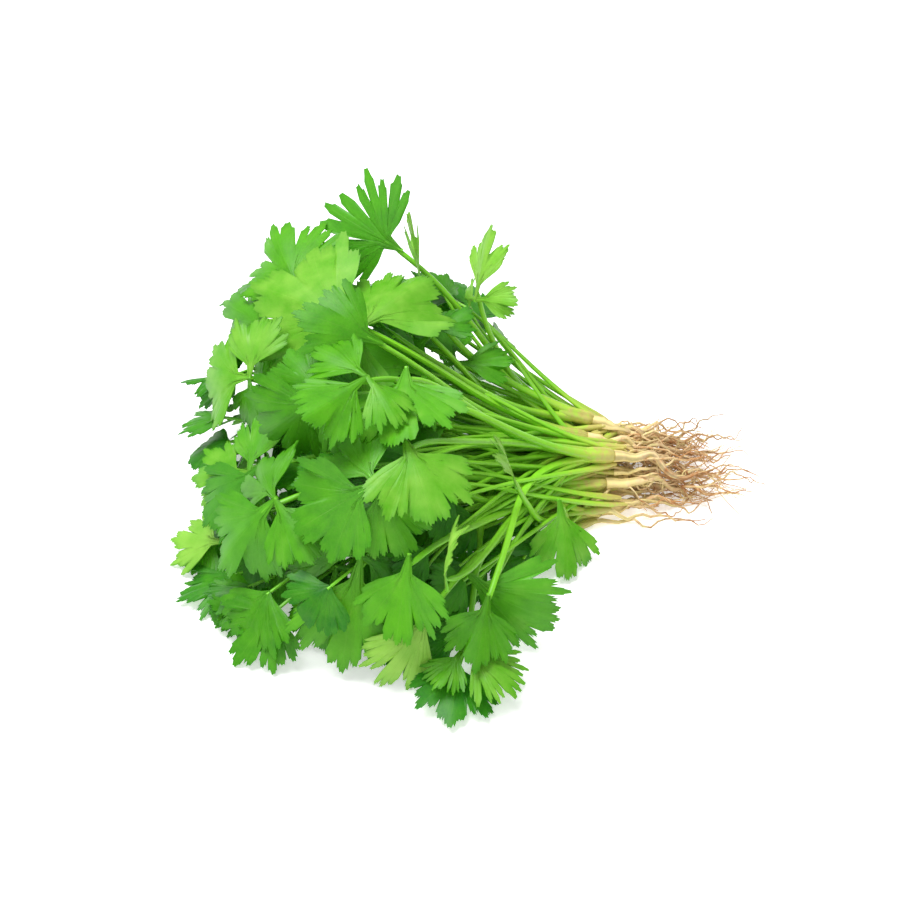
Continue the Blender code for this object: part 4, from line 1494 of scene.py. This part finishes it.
class StageSettings(bpy.types.PropertyGroup):
    floor: colour_setting("Floor", "#F7F7F7", "The plain white table")
    backlight: bpy.props.FloatProperty(
        name="Backlight", description="How strongly the table glows, which lightens shadows",
        default=0.42, min=0,
    )
    distance: bpy.props.FloatProperty(
        name="Camera distance", description="From the middle of the bunch", default=0.8,
        unit="LENGTH",
    )
    elevation: bpy.props.FloatProperty(
        name="Camera elevation", description="How steeply the camera looks down",
        default=math.radians(42), subtype="ANGLE",
    )
    lens: bpy.props.FloatProperty(
        name="Lens", description="Focal length", default=85, subtype="DISTANCE_CAMERA"
    )


class CORIANDER_OT_leaves(bpy.types.Operator):
    """Grow every plant's leaves, cut and toothed"""

    bl_idname = "coriander.leaves"
    bl_label = "Leaves"

    def execute(self, context):
        look = context.scene.coriander_leaf
        stops = [Vector(look.shade), Vector(look.middle), Vector(look.bright)]
        pale = [blend(stop, Vector(look.under), UNDER_SHARE) for stop in stops]
        skins = (
            blade_material("coriander_blade_upper_side", look, stops, look.cool, UPPER_ROUGHNESS),
            blade_material("coriander_blade_underside", look, pale, look.under, UNDER_ROUGHNESS),
        )
        pattern, inner_pattern = model_blade(BLADE_RINGS, skins), model_blade(INNER_BLADE_RINGS, skins)
        for number, plant in enumerate(PLANTS, 1):
            name = f"plant_{number:02d}_leaves"
            part = f"{name}_part"
            blades = []
            for frond in plant["fronds"]:
                for leaf in frond["leaves"]:
                    rng = random.Random(f"{name} {len(blades)}")
                    # Heap leaves take the low heap tone, painted shade; a shown leaf's tone is partly
                    # painted light and shade.
                    tone = frond.get("tone", HEAP_SHADED_TONE) + rng.uniform(-TONE_SPREAD, TONE_SPREAD)
                    cut = frond.get("cut", 0)
                    blades.append(shape_blade(pattern, part, leaf, tone, rng, cut, frond["node"]))
            finish(blades, name, f"plant_{number:02d}", look.thickness)
        for number, group in enumerate(young_groups(), 1):
            name = f"seedlings_{number}_leaves"
            rng = random.Random(name)
            blades = []
            for plant in group:
                # The low tone of the seedlings' leaves is painted shade for leaves deep in the heap.
                tone = INNER_SHADED_TONE + rng.uniform(-TONE_SPREAD, TONE_SPREAD)
                blades.append(shape_blade(inner_pattern, "seedling_leaf", plant["leaf"], tone, rng))
            finish(blades, name, thickness=look.thickness)
        discard(pattern, inner_pattern)
        return {"FINISHED"}


class CORIANDER_OT_stalks(bpy.types.Operator):
    """Draw every plant's leaf stalks, sheathing each other at the crown"""

    bl_idname = "coriander.stalks"
    bl_label = "Stalks and crowns"

    def execute(self, context):
        look = context.scene.coriander_stalk
        skin = ramp_material("coriander_stalk_skin", look, STALK_STOPS, **STALK_SKIN)
        patterns = (STALK_PATTERN, NECK_PATTERN, CROWN_PATTERN, THIN_STALK_PATTERN)
        stalk_tube, neck_tube, crown_tube, thin_tube = (model_tube(*size, skin) for size in patterns)
        self.thin_stalks(thin_tube)
        for number, plant in enumerate(PLANTS, 1):
            name = f"plant_{number:02d}_stalks"
            rng = random.Random(name)
            tubes = [self.crown(crown_tube, plant, rng)]
            for frond in plant["fronds"]:
                tubes.append(self.stalk(stalk_tube, plant, frond, rng))
                for leaf in frond["leaves"]:
                    tubes.append(self.neck(neck_tube, frond, leaf, rng))
            finish(tubes, name, f"plant_{number:02d}")
        discard(stalk_tube, neck_tube, crown_tube, thin_tube)
        return {"FINISHED"}

    def thin_stalks(self, pattern):
        """The stalks of the seedlings."""
        rng = random.Random("seedling_stalks")
        tubes = []
        for plant in YOUNG_PLANTS:
            lowest = SEEDLING_BASE_RADIUS + SEEDLING_CROWN
            path = laid_line(plant["ends"], THIN_STALK_PATTERN[1], lowest)
            path[-1] = path[-1] + plant["leaf"]["along"] * NECK_REACH
            lengths = lengths_along(path)
            radii = [
                blend(SEEDLING_BASE_RADIUS, SEEDLING_TIP_RADIUS, length / lengths[-1])
                + SEEDLING_CROWN * math.exp(-((length / SEEDLING_CROWN_FADE) ** 2))
                for length in lengths
            ]
            round_end(radii)
            tubes.append(
                lay_tube(pattern, "thin_stalk", path, radii, lengths, rng, STALK_RIBS, THIN_GROOVE)
            )
        finish(tubes, "seedling_stalks")

    def crown(self, pattern, plant, rng):
        """The body of the crown, which the stalks sheathe."""
        steps = CROWN_PATTERN[1]
        path, radii = [], []
        swell, fullest = rng.uniform(*CROWN_SWELLS), rng.uniform(*CROWN_FULLEST)
        for k in range(steps + 1):
            t = k / steps
            path.append(plant["seat"] + plant["axis"] * CROWN_LENGTH * t)
            core = CROWN_CORE + rng.uniform(-CROWN_KNOB, CROWN_KNOB)
            bulge = swell * math.sin(math.pi * t**fullest) ** CROWN_ROUNDNESS
            radii.append(CROWN_RADIUS * (core + bulge))
        round_end(radii)
        rises = [CROWN_LENGTH * k / steps for k in range(steps + 1)]
        return lay_tube(pattern, "crown", path, radii, rises, rng, CROWN_RIBS)

    def stalk(self, pattern, plant, frond, rng):
        """A leaf stalk, from its sheath at the crown to where its leaflets part."""
        seat, axis = plant["seat"], plant["axis"]
        main = laid_line(frond["ends"], STALK_PATTERN[1] - SHEATH_STEPS - 1, STALK_BASE_RADIUS)
        main.append(frond["leaves"][0]["base"].copy())
        for _ in range(NODE_SOFTENINGS):
            for k in range(len(main) - NODE_REACH, len(main) - 1):
                main[k] = (main[k - 1] + main[k] * 2 + main[k + 1]) / 4
        inward = (main[0] - seat).cross(axis).cross(axis)
        foot = seat + axis * SHEATH_START + inward * -SHEATH_GATHER
        path = [blend(foot, main[0], k / SHEATH_STEPS) for k in range(SHEATH_STEPS)] + main
        lengths = lengths_along(path)
        radii = []
        for k, length in enumerate(lengths):
            t = max(0, k - SHEATH_STEPS) / (STALK_PATTERN[1] - SHEATH_STEPS)
            flare = SHEATH_FLARE * math.exp(-((length / SHEATH_FADE) ** 2))
            radii.append(blend(STALK_BASE_RADIUS, STALK_TIP_RADIUS, t) + flare)
        round_end(radii)
        radii[-1] = STALK_END_RADIUS
        rises = [length + SHEATH_START for length in lengths]
        return lay_tube(pattern, "stalk", path, radii, rises, rng, STALK_RIBS, STALK_GROOVE)

    def neck(self, pattern, frond, leaf, rng):
        """The short stalk of one leaflet, running into the blade."""
        start = frond["node"] - frond["along"] * NECK_SINK
        span = (leaf["base"] - start).length
        ends = (
            start,
            start + frond["along"] * span * NECK_HANDLES[0],
            leaf["base"] - leaf["along"] * span * NECK_HANDLES[1],
            leaf["base"] + leaf["along"] * NECK_REACH,
        )
        path = curve(ends, NECK_PATTERN[1])
        radii = taper(NECK_RADIUS * NECK_ENDS[0], NECK_RADIUS * NECK_ENDS[1], len(path))
        rises = [STALK_STOPS[-1][1]] * len(path)
        return lay_tube(pattern, "neck", path, radii, rises, rng, groove=THIN_GROOVE)


class CORIANDER_OT_roots(bpy.types.Operator):
    """Draw every plant's taproot with its side roots and fine hairs"""

    bl_idname = "coriander.roots"
    bl_label = "Roots"

    def execute(self, context):
        look = context.scene.coriander_root
        skin = ramp_material("coriander_root_skin", look, ROOT_STOPS, **ROOT_SKIN)
        patterns = (TAPROOT_PATTERN, ROOTLET_PATTERN, HAIR_PATTERN)
        tubes = [model_tube(*size, skin) for size in patterns]
        for number, plant in enumerate(PLANTS, 1):
            name = f"root_{number:02d}_taproot"
            strands = self.strands(tubes, plant, look.hairs, random.Random(name))
            finish(strands, name, f"root_{number:02d}")
        self.thin_roots(tubes[1])
        discard(*tubes)
        return {"FINISHED"}

    def thin_roots(self, pattern):
        """The roots of the seedlings that have one."""
        rng = random.Random("seedling_roots")
        found = []
        for plant in YOUNG_PLANTS[::SEEDLINGS_PER_ROOT]:
            length = rng.uniform(*SEEDLING_ROOTS)
            ends = [plant["seat"] - Vector((ROOT_OVERLAP, 0, 0))]
            for third in (1, 2, 3):
                way = Vector((length * third / 3, 0, -ROOT_FALL * plant["seat"].z * third / 3))
                ends.append(plant["seat"] + way + wobble(rng, SEEDLING_ROOT_BEND))
            line = meander(rng, laid_line(ends, ROOTLET_PATTERN[1], ROOTLET_RADIUS), ROOT_MEANDER)
            tip = SEEDLING_ROOT_TIP
            radii = taper(SEEDLING_BASE_RADIUS, tip, len(line), SEEDLING_ROOT_TAPER)
            lengths = lengths_along(line)
            found.append(lay_tube(pattern, "thin_root", line, radii, lengths, rng, ROOTLET_RIBS))
        finish(found, "seedling_roots")

    def strands(self, tubes, plant, hairs, rng):
        """The taproot, its side roots and its hairs."""
        main = laid_line(plant["root_ends"], TAPROOT_PATTERN[1], ROOT_RADIUS)
        main[0] = main[0] + plant["axis"] * ROOT_OVERLAP
        main = meander(rng, main, ROOT_MEANDER)
        radii = [
            radius * (1 + rng.uniform(*ROOT_KNOBS))
            for radius in taper(ROOT_RADIUS, TAPROOT_END_RADIUS, len(main), ROOT_TAPER)
        ]
        lengths = lengths_along(main)
        found = [lay_tube(tubes[0], "taproot", main, radii, lengths, rng, TAPROOT_RIBS)]
        for ends in plant["rootlet_ends"]:
            line = laid_line(ends, ROOTLET_PATTERN[1], ROOTLET_RADIUS)
            line = meander(rng, line, ROOTLET_MEANDER)
            radii = taper(ROOTLET_RADIUS, ROOTLET_END_RADIUS, len(line))
            rises = [ROOTLET_RISE + length for length in lengths_along(line)]
            found.append(lay_tube(tubes[1], "side_root", line, radii, rises, rng, ROOTLET_RIBS))
        steps = len(main) - 1
        for _ in range(hairs):
            k = rng.randrange(steps // 4, steps)
            onward = (main[k + 1] - main[k]).normalized()
            out = square_to(wobble(rng, 1), onward)
            length = rng.uniform(*HAIR_LENGTHS)
            ends = [main[k]]
            for third in (1, 2, 3):
                way = onward * third / 3 + out * (HAIR_OUT * third)
                ends.append(main[k] + way * length + wobble(rng, HAIR_BEND))
            line = laid_line(ends, HAIR_PATTERN[1], HAIR_RADIUS)
            radii = taper(HAIR_RADIUS, HAIR_END_RADIUS, len(line))
            rises = [HAIR_RISE + length_on for length_on in lengths_along(line)]
            found.append(lay_tube(tubes[2], "hair", line, radii, rises, rng))
        return found


class CORIANDER_OT_stage(bpy.types.Operator):
    """Set the white table, the soft light and the camera"""

    bl_idname = "coriander.stage"
    bl_label = "Stage"

    def execute(self, context):
        look = context.scene.coriander_stage
        deselect()
        bpy.ops.mesh.primitive_plane_add(size=TABLE_SIZE)
        floor = context.view_layer.objects.active
        floor.name = "table"
        floor.data.materials.append(self.acrylic(look))
        self.light(context)
        self.aim_camera(context, look)
        return {"FINISHED"}

    def acrylic(self, look):
        """A matt white acrylic sheet lit from below, a little uneven in its fine grain."""
        material, tree = start_material("backlit_white_acrylic")
        grain = add(tree, "ShaderNodeTexNoise", {"Scale": TABLE_GRAINS, "Detail": 2.0})
        tint = add(tree, "ShaderNodeMapRange", {0: grain, 3: 0.97, 4: 1.0})
        colour = add(
            tree, "ShaderNodeMix", {0: 1.0, 6: look.floor, 7: tint},
            data_type="RGBA", blend_type="MULTIPLY",
        )
        sheet = add(
            tree, "ShaderNodeBsdfPrincipled",
            {
                "Base Color": colour.outputs[2], "Roughness": 0.9, "Emission Color": look.floor,
                "Emission Strength": look.backlight,
            },
        )
        add(tree, "ShaderNodeOutputMaterial", {"Surface": sheet})
        return material

    def light(self, context):
        """Soft light from all round, and the lamps."""
        world = bpy.data.worlds.new("studio")
        context.scene.world = world
        world.use_nodes = True
        world.node_tree.nodes["Background"].inputs[0].default_value = (1, 1, 1, 1)
        world.node_tree.nodes["Background"].inputs[1].default_value = SKY_LIGHT
        for name, energy, size, place in LAMPS:
            lamp = bpy.data.lights.new(name, "AREA")
            lamp.energy = energy
            lamp.size = size
            holder = bpy.data.objects.new(name, lamp)
            context.scene.collection.objects.link(holder)
            holder.location = place
            holder.rotation_euler = (-Vector(place)).to_track_quat("-Z", "Y").to_euler()
        context.scene.view_settings.view_transform = "Standard"

    def aim_camera(self, context, look):
        """A camera at the photograph's angle."""
        camera = bpy.data.cameras.new("camera")
        camera.lens = look.lens
        camera.sensor_width = 36
        holder = bpy.data.objects.new("camera", camera)
        context.scene.collection.objects.link(holder)
        away = Vector((0, -math.cos(look.elevation), math.sin(look.elevation)))
        holder.location = CAMERA_TARGET - MIDDLE + away * look.distance
        holder.rotation_euler = (-away).to_track_quat("-Z", "Y").to_euler()
        context.scene.camera = holder


class CORIANDER_PT_panel(bpy.types.Panel):
    """Lists the bunch's sizes, colours and pieces"""

    bl_idname = "CORIANDER_PT_panel"
    bl_label = "Coriander bunch"
    bl_space_type = "VIEW_3D"
    bl_region_type = "UI"
    bl_category = "Coriander"

    def draw(self, context):
        for operator, _, settings in STEPS:
            box = self.layout.box()
            box.operator(operator.bl_idname)
            for name in getattr(context.scene, settings).__annotations__:
                box.prop(getattr(context.scene, settings), name)


STEPS = (
    (CORIANDER_OT_leaves, LeafSettings, "coriander_leaf"),
    (CORIANDER_OT_stalks, StalkSettings, "coriander_stalk"),
    (CORIANDER_OT_roots, RootSettings, "coriander_root"),
    (CORIANDER_OT_stage, StageSettings, "coriander_stage"),
)


def register():
    for operator, group, name in STEPS:
        bpy.utils.register_class(group)
        setattr(bpy.types.Scene, name, bpy.props.PointerProperty(type=group))
        bpy.utils.register_class(operator)
    bpy.utils.register_class(CORIANDER_PT_panel)


def unregister():
    bpy.utils.unregister_class(CORIANDER_PT_panel)
    for operator, group, name in reversed(STEPS):
        bpy.utils.unregister_class(operator)
        delattr(bpy.types.Scene, name)
        bpy.utils.unregister_class(group)


def main():
    register()
    check_places()
    bpy.ops.coriander.leaves()
    bpy.ops.coriander.stalks()
    bpy.ops.coriander.roots()
    bpy.ops.coriander.stage()
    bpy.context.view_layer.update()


if __name__ == "__main__":
    main()
